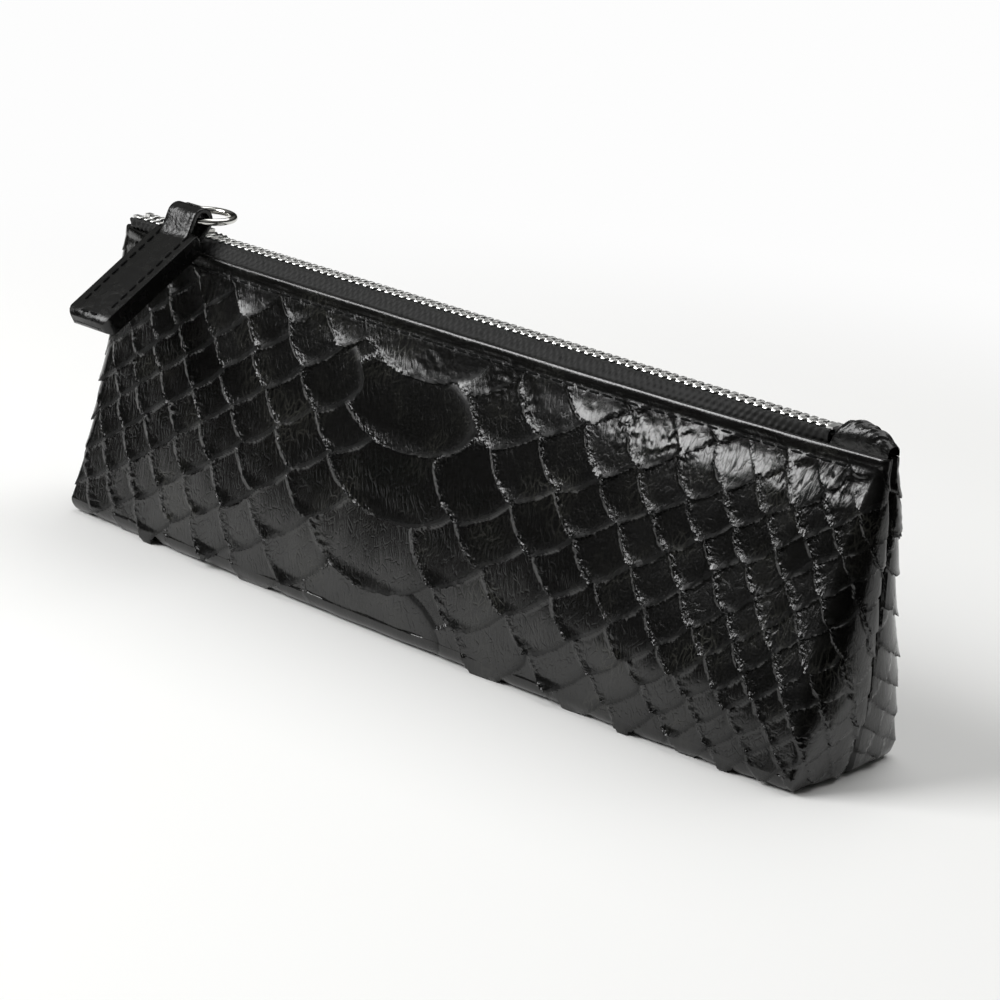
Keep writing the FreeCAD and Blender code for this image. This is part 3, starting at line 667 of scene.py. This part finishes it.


def metal(name, tint, dull, scuff, foot_shade=None):
    material, tree, shader = new_material(name)
    place = add(tree, "ShaderNodeTexCoord").outputs["Object"]
    worn = add(tree, "ShaderNodeTexNoise", {"Vector": place, "Scale": mm_scale(scuff),
                                            "Detail": 4.0}).outputs["Fac"]
    rough = add(tree, "ShaderNodeMapRange", {"Value": worn, "From Min": 0.3, "From Max": 0.7,
                                             "To Min": dull - 0.06, "To Max": dull + 0.08})
    bump = add(tree, "ShaderNodeBump", {"Height": worn, "Strength": 0.08, "Distance": 0.0001})
    plug(tree, shader, {"Base Color": colour(tint), "Metallic": 1.0, "Roughness": rough.outputs["Result"],
                        "Normal": bump.outputs["Normal"]})
    if foot_shade:
        # Painted shade: the feet of the teeth, down against the tape, are darker.
        height = add(tree, "ShaderNodeSeparateXYZ", {0: place}).outputs["Z"]
        share = add(tree, "ShaderNodeMapRange", {"Value": height, "From Min": TEETH_LOW,
                                                 "From Max": mix(TEETH_LOW, TEETH_HIGH, FOOT_SHARE)})
        tone = add(tree, "ShaderNodeMix", {"Factor": share.outputs["Result"], "A": colour(foot_shade),
                                           "B": colour(tint)}, data_type="RGBA")
        plug(tree, shader, {"Base Color": tone.outputs["Result"]})
    return material


# The feet of the teeth are painted #262625 as painted shade.
tooth_metal = metal("stamped aluminium", "#ececea", 0.34, 0.5, foot_shade="#262625")
slider_metal = metal("nickel-plated zinc", "#c9c8c4", 0.24, 0.8)
ring_metal = metal("polished nickel wire", "#d6d5d1", 0.14, 0.6)
for finish, names in ((slider_metal, ("slider_body", "slider_crown")),
                      (tooth_metal, ("front_top_stop", "back_top_stop", "bottom_stop")),
                      (lining_cloth, ("front_lining", "back_lining")),
                      (board, ("front_backing", "back_backing"))):
    for name in names:
        wear(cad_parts[name], finish)
    print(finish.name, "on", *names)

# %% [markdown]
# Each zip tape is sewn behind the leather, bends over its edge and runs up to the teeth. It is a grid again,
# laid on the same section as the model and pushed out by its own coarse weave. When the zip is pulled open
# the tape and its teeth lean back towards the leather; both are cut into short lengths.

# %% Section of the zip tapes
slider_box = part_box("slider_body")
tape_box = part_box("front_zip_tape")
SLIDER_X = (slider_box[0].x + slider_box[1].x) / 2 / MM
SLIDER_LENGTH = (slider_box[1].x - slider_box[0].x) / MM
CHAIN_Z = (TEETH_LOW + TEETH_HIGH) / 2 / MM
TOOTH_HALF = (TEETH_HIGH - TEETH_LOW) / 2 / MM
CHAIN_START = teeth_box[0].x / MM
TAPE_ENDS = tape_box[0].x / MM, tape_box[1].x / MM
LAYER_GAP = 0.15
MOUTH_STRETCH = 1.0137     # the tape's line is a little shorter than the leather's
TOOTH_BACK = 1.95
TAPE_THICK = 0.55
TAPE_CLEARANCE = 0.15
TAPE_IN_TOOTH = 1.0
TAPE_REACH = SLIDER_LENGTH / 2 + 1.0
TAPE_HEM = 0.45, 2.0       # mm, how far the tape runs in and down behind the leather
ROW_OPENING, ROW_CLOSING = 1.0, 0.4
PARTING = SLIDER_X + 1.5, SLIDER_X - 3.0


def row_offset(x):
    """How far each row of teeth stands aside where the zip is open."""
    nose = SLIDER_X - SLIDER_LENGTH / 2
    parted = smooth((PARTING[0] - x) / (PARTING[0] - PARTING[1]))
    return ROW_OPENING * parted - ROW_CLOSING * smooth((nose - x) / (nose - CHAIN_START))


def tape_line(x):
    """Upper face of the front tape at each x: five corners, from behind the leather to between the teeth."""
    top = LEATHER + LAYER_GAP - half_width(x * MOUTH_STRETCH, EDGE_HEIGHT)
    back = -TOOTH_BACK - row_offset(x)
    tip = back + TAPE_IN_TOOTH - TAPE_CLEARANCE
    level = np.full_like(x, CHAIN_Z + TAPE_THICK / 2)
    edge = np.full_like(x, EDGE_HEIGHT)
    entry = back - TAPE_THICK - TAPE_CLEARANCE
    under = CHAIN_Z - TOOTH_HALF - TAPE_THICK - TAPE_CLEARANCE
    bend_y = np.where(top < entry, (top + entry) / 2, entry)
    bend_z = np.where(top < entry, (edge + level) / 2, under)
    square = 1 - ramp(np.abs(x - SLIDER_X), TAPE_REACH, TAPE_REACH)
    corner = np.minimum(top, entry)
    bend_y, bend_z = mix(bend_y, corner, square), mix(bend_z, level, square)
    entry = mix(entry, (corner + tip) / 2, square)
    y = np.stack([top - TAPE_HEM[0], top, bend_y, entry, tip])
    z = np.stack([edge - TAPE_HEM[1], edge, bend_z, level, level])
    return y, z


print(f"tape from {TAPE_ENDS[0]:.1f} to {TAPE_ENDS[1]:.1f} mm, slider at {SLIDER_X:.1f} mm")

# %% [markdown]
# A real tape's weave is too fine to show at this size, so its ribs are drawn coarser. Neighbouring lengths
# share their cut edge, so that no seam shows, and Solidify adds the underside without closing the cuts.

# %% Zip tapes
TAPE_CELL = 0.33           # mm between vertices
TAPE_ROWS = 18
TAPE_SHEET = 0.4           # mm, thickness that shows
WEAVE_PITCH = 1.6          # mm, coarse enough to show
WEAVE_RATIO = 1.25         # threads across the tape for each one along it
WEAVE_RAISE = 0.22         # mm
WEAVE_END = 1.2            # mm from the teeth, where the weave runs out
LENGTHS = 9                # lengths that each side of the zip is cut into


def tape_points():
    x = np.arange(TAPE_ENDS[0], TAPE_ENDS[1], TAPE_CELL)
    y, z = tape_line(x)
    runs = np.hypot(np.diff(y, axis=0), np.diff(z, axis=0))
    reach = np.vstack([np.zeros_like(x), np.cumsum(runs, 0)])
    place = np.linspace(0, 1, TAPE_ROWS)[:, None] * reach[-1]
    rows_y, rows_z = (np.stack([np.interp(place[:, i], reach[:, i], line[:, i]) for i in range(len(x))], 1)
                      for line in (y, z))
    dy, dz = np.gradient(rows_y, axis=0), np.gradient(rows_z, axis=0)
    size = np.maximum(np.hypot(dy, dz), 1e-9)
    u = x[None, :] / WEAVE_PITCH
    v = place / WEAVE_PITCH * WEAVE_RATIO
    weave = np.sin(2 * np.pi * (u + 0.5 * np.floor(v))) * np.abs(np.sin(np.pi * v))
    raised = WEAVE_RAISE * weave * smooth((reach[-1] - place) / WEAVE_END)
    rows_x = np.broadcast_to(x, rows_y.shape)
    points = np.stack([rows_x, rows_y - raised * dz / size, rows_z + raised * dy / size], -1)
    return points, np.stack([rows_x, place], -1)


def lean_back(piece):
    """Gives one length of the zip its own mesh."""
    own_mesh(piece)


cloth, cloth_map = tape_points()
cuts = np.linspace(0, cloth.shape[1] - 1, LENGTHS + 1).astype(int)
for side, node in ((-1, "front_zip_tape"), (1, "back_zip_tape")):
    for length, (start, end) in enumerate(zip(cuts, cuts[1:])):
        share = slice(start, end + 1)
        stretch = cloth[:, share].copy()
        stretch[..., 1] *= -side
        piece = lay_grid(f"{node}_{length + 1}", stretch, cloth_map[:, share], side > 0)
        apply_modifier(piece, "SOLIDIFY", thickness=TAPE_SHEET * MM, offset=-1.0, use_rim=False)
        settle(piece, tape_cloth, "case", "tape", node)
        lean_back(piece)

# %% [markdown]
# The teeth keep the model's stamped shape. A copy of each row is cut into the same lengths as the tape and
# its edges are rounded off, because a stamped edge that is perfectly sharp never catches the light.

# %% Zip teeth
TOOTH_PITCH = 25.4 / 12    # mm
TOOTH_MIDDLE = 0.5         # mm from the end of the chain to the middle of its first tooth
TOOTH_BEVEL = 0.09         # mm
SAME_POINT = 0.000002      # m, corners closer than this are one
SAME_PLANE = math.radians(2)


def tooth_lengths(node):
    """The row's triangles sorted by length of the zip, a whole tooth at a time."""
    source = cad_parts[node].data
    points = np.zeros(len(source.vertices) * 3, np.float32)
    source.vertices.foreach_get("co", points)
    points = points.reshape(-1, 3)
    faces = np.array([tuple(face.vertices) for face in source.polygons])
    pitch = TOOTH_PITCH * MM
    first = points[:, 0].min() + TOOTH_MIDDLE * MM
    tooth = np.round((points[faces].mean(1)[:, 0] - first) / pitch) * pitch + first
    bounds = cloth[0, cuts, 0] * MM
    return points, faces, np.clip(np.searchsorted(bounds, tooth) - 1, 0, LENGTHS - 1)


def new_piece(name, points, faces):
    """A selected object at the origin with this mesh."""
    mesh = bpy.data.meshes.new(name)
    mesh.from_pydata(points, [], faces)
    piece = bpy.data.objects.new(name, mesh)
    bpy.context.collection.objects.link(piece)
    only(piece)
    return piece


for side, node in ((-1, "front_zip_teeth"), (1, "back_zip_teeth")):
    points, faces, lengths = tooth_lengths(node)
    for length in range(LENGTHS):
        piece = new_piece(f"{node}_{length + 1}", points.tolist(), faces[lengths == length].tolist())
        bpy.ops.object.mode_set(mode="EDIT")
        bpy.ops.mesh.select_all(action="SELECT")
        bpy.ops.mesh.remove_doubles(threshold=SAME_POINT)
        bpy.ops.mesh.delete_loose(use_verts=True, use_edges=True, use_faces=False)
        bpy.ops.mesh.select_all(action="SELECT")
        bpy.ops.mesh.dissolve_limited(angle_limit=SAME_PLANE)
        bpy.ops.object.mode_set(mode="OBJECT")
        apply_modifier(piece, "BEVEL", width=TOOTH_BEVEL * MM, segments=1, limit_method="ANGLE")
        settle(piece, tooth_metal, "case", "teeth", node)
        lean_back(piece)

# %% [markdown]
# The ring is bent from round wire and closed, so it is a torus at the size of the model's ring.

# %% Ring
ring_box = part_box("pull_ring")
RING_WIRE = (ring_box[1].z - ring_box[0].z) / 2
RING_RADIUS = (ring_box[1].x - ring_box[0].x) / 2 - RING_WIRE
RING_CENTRE = (ring_box[0] + ring_box[1]) / 2
deselect()
bpy.ops.mesh.primitive_torus_add(location=RING_CENTRE, major_radius=RING_RADIUS, minor_radius=RING_WIRE,
                                 major_segments=96, minor_segments=20)
ring = bpy.context.object
ring.name = "wire_ring"
bpy.ops.object.transform_apply(location=True, rotation=True, scale=True)
bpy.ops.object.shade_smooth()
settle(ring, ring_metal, "ring", "ring_wire", "pull_ring")

# %% [markdown]
# The pull is a strip of leather folded through the ring and sewn to itself over a filler: a thick slab with
# rounded, painted edges, and a thinner loop round the wire. The slab starts as a cube whose corners are
# bevelled in plan and then all round. It is shaped flat, with the ring's wire at zero, and then put in place.

# %% Slab of the pull
FOLD_Y = -5.049
STRAP_TILT = math.radians(32.0)
STRAP_WIDTH, STRAP_NECK, STRAP_LENGTH = 12.6, 8.6, 35.0
STRAP_TOP, STRAP_BOTTOM = -0.05, -4.55
FOLD_OUTER, FOLD_LEAF = 3.1, 1.1
STRAP_CORNER, NECK_CORNER = 2.6, 2.0
EDGE_PAINT = 0.75          # mm, radius of the painted edges
strap_place = (Matrix.Translation((RING_CENTRE.x, FOLD_Y * MM, RING_CENTRE.z))
               @ Matrix.Rotation(STRAP_TILT, 4, "X") @ Matrix.Rotation(math.pi, 4, "Z"))


def pick_edges(piece, chosen):
    """Selects the edges whose two ends pass the test."""
    only(piece)
    bpy.ops.object.mode_set(mode="EDIT")
    bpy.ops.mesh.select_all(action="DESELECT")
    bpy.ops.object.mode_set(mode="OBJECT")
    for edge in piece.data.edges:
        edge.select = chosen(*(piece.data.vertices[i].co / MM for i in edge.vertices))
    bpy.ops.object.mode_set(mode="EDIT")


def upright_at(y):
    return lambda p, q: abs(p.z - q.z) > 1 and abs(p.y - y) < 0.01 and abs(q.y - y) < 0.01


def round_off(piece, width, segments, least_angle, smooth_angle):
    """Bevels every edge sharper than the least angle, lays the piece in the pull's place and smooths it."""
    apply_modifier(piece, "BEVEL", width=width * MM, segments=segments, limit_method="ANGLE",
                   angle_limit=math.radians(least_angle))
    piece.data.transform(strap_place)
    only(piece)
    bpy.ops.object.shade_smooth_by_angle(angle=math.radians(smooth_angle))


deselect()
bpy.ops.mesh.primitive_cube_add(size=MM, location=(0, (FOLD_OUTER + STRAP_LENGTH) / 2 * MM,
                                                   (STRAP_TOP + STRAP_BOTTOM) / 2 * MM))
slab = bpy.context.object
slab.name = "pull_slab"
slab.scale = STRAP_WIDTH, STRAP_LENGTH - FOLD_OUTER, STRAP_TOP - STRAP_BOTTOM
bpy.ops.object.transform_apply(location=True, rotation=True, scale=True)
for y, radius in ((STRAP_LENGTH, STRAP_CORNER), (FOLD_OUTER, NECK_CORNER)):
    pick_edges(slab, upright_at(y))
    bpy.ops.mesh.bevel(offset=radius * MM, segments=7, affect="EDGES")
    bpy.ops.object.mode_set(mode="OBJECT")
round_off(slab, EDGE_PAINT, 4, 50, 35)
settle(slab, trim_leather, "pull", "trim_leather", "pull_strap", "pull_core")

# %% [markdown]
# The loop is a narrow strip on a grid. Its side view is a smooth line: out of the slab's upper face, round
# the wire and back into its lower face. Solidify gives it the thickness of one leaf of leather.

# %% Loop of the pull
LOOP_START = (8.0, -0.75), (5.4, -0.45), (3.3, 0.75)    # mm along the strap and above it
LOOP_END = (2.4, -3.2), (5.0, -3.85), (8.0, -3.9)
LOOP_MIDDLE = FOLD_OUTER - FOLD_LEAF / 2
LOOP_TURN = np.radians(np.linspace(45, 265, 8))
LOOP_STEPS, LOOP_COLUMNS = 64, 10


def curve_through(points, count):
    """A smooth line through these points, with evenly counted steps."""
    points = np.array(points, float)
    ends = np.vstack([2 * points[0] - points[1], points, 2 * points[-1] - points[-2]])
    line = []
    for place in np.linspace(0, len(points) - 1.0001, count):
        i, t = int(place), place % 1
        a, b, c, d = ends[i:i + 4]
        bend = a - 2.5 * b + 2 * c - d / 2 + t * (1.5 * (b - c) + (d - a) / 2)
        line.append(b + t * ((c - a) / 2 + t * bend))
    return np.array(line)


around = [(LOOP_MIDDLE * math.cos(t), LOOP_MIDDLE * math.sin(t)) for t in LOOP_TURN]
line = curve_through([*LOOP_START, *around, *LOOP_END], LOOP_STEPS)
spread = np.linspace(-STRAP_NECK / 2, STRAP_NECK / 2, LOOP_COLUMNS)
loop_points = np.stack(np.broadcast_arrays(spread[None, :], line[:, :1], line[:, 1:]), -1)
loop = lay_grid("pull_loop", loop_points, loop_points[..., :2], False)
apply_modifier(loop, "SOLIDIFY", thickness=FOLD_LEAF * MM, offset=0.0)
round_off(loop, 0.3, 3, 60, 40)
settle(loop, trim_leather, "pull", "trim_leather", "pull_strap")

# %% [markdown]
# A stitch is a short thick thread that dives into the leather at both ends, so it is a fat little capsule.
# One is shaped from a sphere and copied along each seam: below the turned edge of both skins, and in a U on
# both faces of the pull.

# %% Stitches
THREAD_RADIUS = 0.30
THREAD_BLUNT = 0.6         # how blunt a stitch's ends are, where 1 is an egg
STITCH_PITCH, STITCH_LENGTH = 3.2, 2.6
STITCH_END = 7.0
STITCH_SINK = 0.02
PULL_INSET, PULL_PITCH, PULL_STITCH = 2.0, 2.9, 2.2
PULL_START = 4.7
PULL_RAISE = 0.05


def sew(name, ends, body, node, place=None):
    """Copies one capsule stitch between each pair of points, in mm, and joins the copies."""
    deselect()
    bpy.ops.mesh.primitive_uv_sphere_add(segments=8, ring_count=7, radius=1)
    pattern = bpy.context.object
    corners = np.array([v.co for v in pattern.data.vertices])
    faces = [tuple(face.vertices) for face in pattern.data.polygons]
    bpy.data.objects.remove(pattern)
    points, polygons = [], []
    for start, end in ends:
        run = Vector(end) - Vector(start)
        turn = np.array(run.to_track_quat("Z", "Y").to_matrix())
        stitch = corners * (THREAD_RADIUS, THREAD_RADIUS, 1)
        stitch[:, 2] = np.sign(corners[:, 2]) * np.abs(corners[:, 2]) ** THREAD_BLUNT * (run.length / 2)
        polygons += [[i + len(points) for i in face] for face in faces]
        points += list((stitch @ turn.T + (np.array(start) + np.array(end)) / 2) * MM)
    piece = new_piece(name, [tuple(p) for p in points], polygons)
    if place:
        piece.data.transform(place)
    bpy.ops.object.shade_smooth()
    settle(piece, thread_black, body, "thread", node)


def edge_stitches(side):
    half = TOP_LENGTH / 2 - STITCH_END
    count = int(2 * half // STITCH_PITCH)
    level = EDGE_HEIGHT - STITCH_DROP
    for i in range(count):
        x = -half + (2 * half - count * STITCH_PITCH) / 2 + i * STITCH_PITCH
        yield [(u, side * (float(half_width(np.float64(u), level)) - STITCH_SINK), level)
               for u in (x, x + STITCH_LENGTH)]


def pull_stitches():
    half = STRAP_WIDTH / 2 - PULL_INSET
    end = STRAP_LENGTH - PULL_INSET
    for z, first in ((STRAP_TOP + PULL_RAISE, 0), (STRAP_BOTTOM - PULL_RAISE, 1)):
        for x in (-half, half):
            for i in range(first, int((end - PULL_START) // PULL_PITCH)):
                y = PULL_START + i * PULL_PITCH
                yield (x, y, z), (x, y + PULL_STITCH, z)
        count = int(2 * half // PULL_PITCH)
        for i in range(count):
            x = (i - count / 2) * PULL_PITCH + (PULL_PITCH - PULL_STITCH) / 2
            yield (x, end, z), (x + PULL_STITCH, end, z)


sew("front_seam", edge_stitches(-1), "case", "front_edge_stitching")
sew("back_seam", edge_stitches(1), "case", "back_edge_stitching")
sew("pull_seam", pull_stitches(), "pull", "pull_stitching", strap_place)

# %% [markdown]
# Over the right end of the zip lies a scrap of leather, folded down on both sides and pinched into the side
# seam. It is an arch on a grid: upright sides, a rounded back that falls towards the seam, and a few soft
# dents from the fingers that folded it.

# %% Zip end tab
tab_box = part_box("zip_end_tab")
TAB_START, TAB_END = tab_box[0].x / MM, tab_box[1].x / MM + 0.6
TAB_HEIGHT = 4.9
TAB_INSET, TAB_RAISE = 0.5, 0.02
TAB_SHAPE = ((0.0, 0.05), (0.04, 0.55), (0.12, 0.85), (0.35, 1.0), (0.62, 0.97), (0.85, 0.75), (1.0, 0.42))
TAB_COLUMNS, TAB_ROWS = 64, 40
SIDE_SQUARE, BACK_SQUARE = 0.75, 0.7    # how square the arch is, where 1 is round
DENT_WAVE, CRINKLE_WAVE = 5.2, 2.1      # mm
DENT_DEPTH, CRINKLE_DEPTH = 0.16, 0.07


def tab_points():
    share = np.linspace(0, 1, TAB_COLUMNS)[None, :]
    arch = np.linspace(0, np.pi, TAB_ROWS)[:, None]
    x = mix(TAB_START, TAB_END, share)
    half = half_width(x, EDGE_HEIGHT) - TAB_INSET
    height = TAB_HEIGHT * np.interp(share, *zip(*TAB_SHAPE))
    dent = (DENT_DEPTH * ripple(x + 1.4 * np.cos(arch) * half, DENT_WAVE, 21)
            + CRINKLE_DEPTH * ripple(x - 2 * arch, CRINKLE_WAVE, 22))
    y = -np.sign(np.cos(arch)) * np.abs(np.cos(arch)) ** SIDE_SQUARE * half
    z = EDGE_HEIGHT + TAB_RAISE + height * np.sin(arch) ** BACK_SQUARE * (1 + 0.5 * dent * np.sin(arch))
    return np.stack(np.broadcast_arrays(x, y, z), -1)


tab = tab_points()
end_tab = lay_grid("end_tab", tab, tab[..., :2], False)
settle(end_tab, trim_leather, "case", "trim_leather", "zip_end_tab")

# %% [markdown]
# The studio stands on white paper. A glossy black thing shows little but what it mirrors, and the
# photograph's lower wall mirrors the lit paper while its upper wall mirrors a dark room. So in mirrors alone
# the paper ends not far in front of the case and to its right. What the camera sees of it turns to plain
# white away from the case's shadow.

# %% Floor
CAMERA_AZIMUTH, CAMERA_ELEVATION, CAMERA_ROLL = (math.radians(v) for v in (40.2, 17.5, 5.1))
FLOOR_REACH = 3.0          # m behind and beside the case
FLOOR_FRONT = 0.60         # m in front of it
PAPER_ENDS = (             # axis, m where the mirrored paper ends and half breadth of that edge
    ("Y", -0.30, -0.015), ("X", 0.165, 0.012), ("Y", 0.05, -0.02))
SHADE_REACH = 0.20, 0.40   # m from the case, where the shaded paper turns to plain white
WHITE = "#fdfdfd"


def pale_floor():
    """Matt white paper, dark in mirrors where it ends: in front of the case and at its right."""
    material, tree, shader = new_material("white paper sweep")
    place = add(tree, "ShaderNodeTexCoord").outputs["Object"]
    ray = add(tree, "ShaderNodeLightPath")
    spot = add(tree, "ShaderNodeSeparateXYZ", {0: place})
    front, beside, before = (
        add(tree, "ShaderNodeMapRange", {"Value": spot.outputs[axis], "From Min": edge - soft,
                                         "From Max": edge + soft}).outputs["Result"]
        for axis, edge, soft in PAPER_ENDS)
    right = add(tree, "ShaderNodeMath", {0: beside, 1: before}, operation="MULTIPLY")
    dark = add(tree, "ShaderNodeMath", {0: front, 1: right.outputs[0]}, operation="MAXIMUM")
    mirrored = add(tree, "ShaderNodeMath", {0: dark.outputs[0], 1: ray.outputs["Is Glossy Ray"]},
                   operation="MULTIPLY")
    paper = add(tree, "ShaderNodeMix", {"Factor": mirrored.outputs[0], "A": colour("#f4f4f3"),
                                        "B": colour("#2c2c2b")}, data_type="RGBA")
    plug(tree, shader, {"Base Color": paper.outputs["Result"], "Roughness": 0.9, "Specular IOR Level": 0.1})
    away = add(tree, "ShaderNodeVectorMath", {0: place}, operation="LENGTH").outputs["Value"]
    fade = add(tree, "ShaderNodeMapRange", {"Value": away, "From Min": SHADE_REACH[0],
                                            "From Max": SHADE_REACH[1]}, interpolation_type="SMOOTHSTEP")
    seen = add(tree, "ShaderNodeMath", {0: fade.outputs["Result"], 1: ray.outputs["Is Camera Ray"]},
               operation="MULTIPLY")
    white = add(tree, "ShaderNodeEmission", {"Color": colour(WHITE), "Strength": 1.0})
    both = add(tree, "ShaderNodeMixShader", {0: seen.outputs[0], 1: shader.outputs[0], 2: white.outputs[0]})
    plug(tree, tree.nodes["Material Output"], {"Surface": both.outputs[0]})
    return material


deselect()
bpy.ops.mesh.primitive_plane_add(size=1, location=(0, 0, 0))
floor = bpy.context.object
floor.name = "floor"
back_of_camera = Vector((math.sin(CAMERA_AZIMUTH), -math.cos(CAMERA_AZIMUTH), 0))
side_of_camera = Vector((math.cos(CAMERA_AZIMUTH), math.sin(CAMERA_AZIMUTH), 0))
for vertex, (near, wide) in zip(floor.data.vertices, ((1, -1), (1, 1), (-1, -1), (-1, 1))):
    reach = FLOOR_FRONT if near > 0 else FLOOR_REACH
    vertex.co = back_of_camera * near * reach + side_of_camera * wide * FLOOR_REACH
wear(floor, pale_floor())
print("floor", FLOOR_FRONT, "m in front of the case and", FLOOR_REACH, "m behind and beside it")

# %% [markdown]
# A soft light stands at the front left and a larger one hangs overhead. The room is dark at eye level and
# grows lighter towards the ceiling, which the rounded top edges mirror. The camera sees plain white instead.

# %% Lights and room
def soft_light(name, place, aim, size, power):
    bpy.ops.object.light_add(type="AREA", location=place)
    lamp = bpy.context.object
    lamp.name = name
    lamp.data.shape = "RECTANGLE"
    lamp.data.size = lamp.data.size_y = size
    lamp.data.energy = power
    lamp.rotation_euler = (Vector(place) - Vector(aim)).to_track_quat("Z", "Y").to_euler()
    print(name, power, "W")


soft_light("front_left_softbox", place=(-0.60, -0.79, 0.80), aim=(0, 0, 0.03), size=0.70, power=14)
soft_light("overhead_softbox", place=(0.10, 0.85, 2.1), aim=(0.1, 0.2, 0), size=2.2, power=30)

ROOM_LOW, ROOM_HIGH = 0.20, 0.70    # height of a direction, where the room starts and ends growing lighter
world = bpy.data.worlds.new("studio")
bpy.context.scene.world = world
world.use_nodes = True
tree = world.node_tree
ray = add(tree, "ShaderNodeLightPath")
direction = add(tree, "ShaderNodeTexCoord").outputs["Generated"]
height = add(tree, "ShaderNodeSeparateXYZ", {0: direction}).outputs["Z"]
share = add(tree, "ShaderNodeMapRange", {"Value": height, "From Min": ROOM_LOW, "From Max": ROOM_HIGH})
walls = add(tree, "ShaderNodeMix", {"Factor": share.outputs["Result"], "A": colour("#0a0a0a"),
                                    "B": colour("#7c7c7a")}, data_type="RGBA")
room = add(tree, "ShaderNodeMix", {"Factor": ray.outputs["Is Camera Ray"], "A": walls.outputs["Result"],
                                   "B": colour(WHITE)}, data_type="RGBA")
plug(tree, tree.nodes["Background"], {"Color": room.outputs["Result"]})

# %% [markdown]
# The camera stands where the photographer's did: to the right, a little above, and slightly rolled. A long
# lens keeps the far end of the case nearly as large as the near one.

# %% Camera
CAMERA_PLACE = (0.4079, -0.4700, 0.2245)
CAMERA_LENS, CAMERA_SENSOR = 112.5, 36.0    # mm
rising, rolled = CAMERA_ELEVATION, CAMERA_ROLL
back = back_of_camera * math.cos(rising) + Vector((0, 0, math.sin(rising)))
up = back.cross(side_of_camera)
right = side_of_camera * math.cos(rolled) + up * math.sin(rolled)
top = up * math.cos(rolled) - side_of_camera * math.sin(rolled)
bpy.ops.object.camera_add()
camera = bpy.context.object
camera.matrix_world = Matrix.Translation(CAMERA_PLACE) @ Matrix((right, top, back)).transposed().to_4x4()
camera.data.lens = CAMERA_LENS
camera.data.sensor_width = CAMERA_SENSOR
camera.data.clip_start = 0.01
bpy.context.scene.camera = camera
bpy.context.scene.view_settings.view_transform = "Standard"
print("camera at", CAMERA_PLACE)
